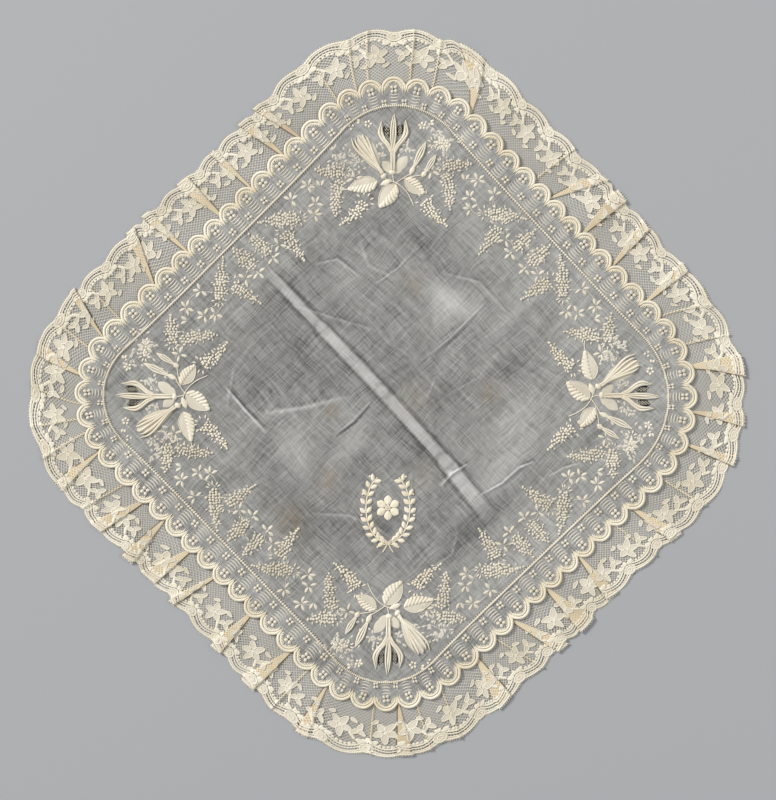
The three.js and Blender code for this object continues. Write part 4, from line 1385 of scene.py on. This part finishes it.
def make_lace_work(lace):
    """The lace's edge, the fans between its arcs and its sprigs."""
    rng = np.random.default_rng(23)
    edge, sprigs, field = Drawing(), Drawing(), Drawing()
    u = np.arange(0, lace.length + 0.01, 0.8)
    for inset, width, lift in ((0.6, 1.2, 0.24), (1.65, 0.8, 0.2), (3.35, 0.8, 0.2), (5.0, 1.0, 0.22)):
        line = lace.rim(u) - inset - arc_dip(u) * min(1, inset / 3)
        edge.strand(np.stack([u, line], -1), width, lift, taper=1)
    for at in np.arange(0.0, lace.length, 1.04):
        rim = lace.rim(at)
        lean = rng.uniform(-0.25, 0.25)
        reach = rng.uniform(0.7, 1.2)
        picot = [[at, rim - 0.3], [at + lean * 0.5, rim + 0.4], [at + lean, rim + reach]]
        edge.strand(picot, [0.34, 0.28, 0.2], 0.1)
    for at in np.arange(1.1, lace.length, 2.27):
        inward = 6.5 + arc_dip(at) + rng.uniform(-0.2, 0.2)
        size = rng.uniform(0.85, 1.2)
        edge.dome((at, lace.rim(at) - inward), size, size * 0.85, 0, 0.24, 8, (1.0, 0.6, 0.02))
    for u in np.arange(round(lace.length / LACE_REPEAT)) * LACE_REPEAT:
        fan(edge, field, u, lace.rim(u))
        sprig(sprigs, field, u + 9.5 + rng.uniform(-0.8, 0.8), rng)
    return [
        edge.make("lace_edge_work", LACE_THREAD, "lace", lace.at),
        sprigs.make("lace_sprigs", LACE_THREAD, "lace", lace.at),
        field.make("lace_fields", LACE_FIELD, "lace", lace.at),
    ]


lace = Lace()
lace_net = lace.make()
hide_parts("lace_frill")
LACE_WORK = make_lace_work(lace)


# ---- floor, light and camera
def make_stage():
    mesh = bpy.data.meshes.new("floor")
    corners = [(-15, -15, 0), (15, -15, 0), (15, 15, 0), (-15, 15, 0)]
    mesh.from_pydata(corners, [], [(0, 1, 2, 3)])
    floor = link(bpy.data.objects.new("floor", mesh))
    pale = Nodes("pale_floor").set(Base_Color=colour(163, 164, 166), Roughness=0.95)
    mesh.materials.append(pale)


def area_light(name, place, size, power, tint):
    """A square light that faces the cloth."""
    light = bpy.data.lights.new(name, "AREA")
    light.size = size
    light.energy = power
    light.color = tint
    obj = link(bpy.data.objects.new(name, light))
    obj.location = place
    obj.rotation_mode = "QUATERNION"
    obj.rotation_quaternion = (-Vector(place)).to_track_quat("-Z", "Y")


def make_light():
    world = bpy.data.worlds.new("studio")
    bpy.context.scene.world = world
    world.use_nodes = True
    background = world.node_tree.nodes["Background"]
    background.inputs["Color"].default_value = (0.97, 0.985, 1.0, 1.0)
    background.inputs["Strength"].default_value = 0.42
    area_light("key", (-1.1, 5.2, 2.8), 1.1, 434.0, (1.0, 0.99, 0.97))
    area_light("fill", (1.4, -1.4, 1.9), 1.6, 21.0, (0.95, 0.97, 1.0))
    bpy.context.scene.view_settings.view_transform = "Standard"


def make_camera():
    """Straight down, turned so that the square stands on its corner."""
    lens, sensor, view_width = 85, 36, 0.5292
    data = bpy.data.cameras.new("camera")
    data.lens = lens
    data.sensor_width = sensor
    data.clip_start = 0.05
    camera = link(bpy.data.objects.new("camera", data))
    camera.location = (-0.0038, -0.0001, view_width * lens / sensor)
    camera.rotation_euler = (0, 0, math.radians(-45))
    bpy.context.scene.camera = camera


make_stage()
make_light()
make_camera()
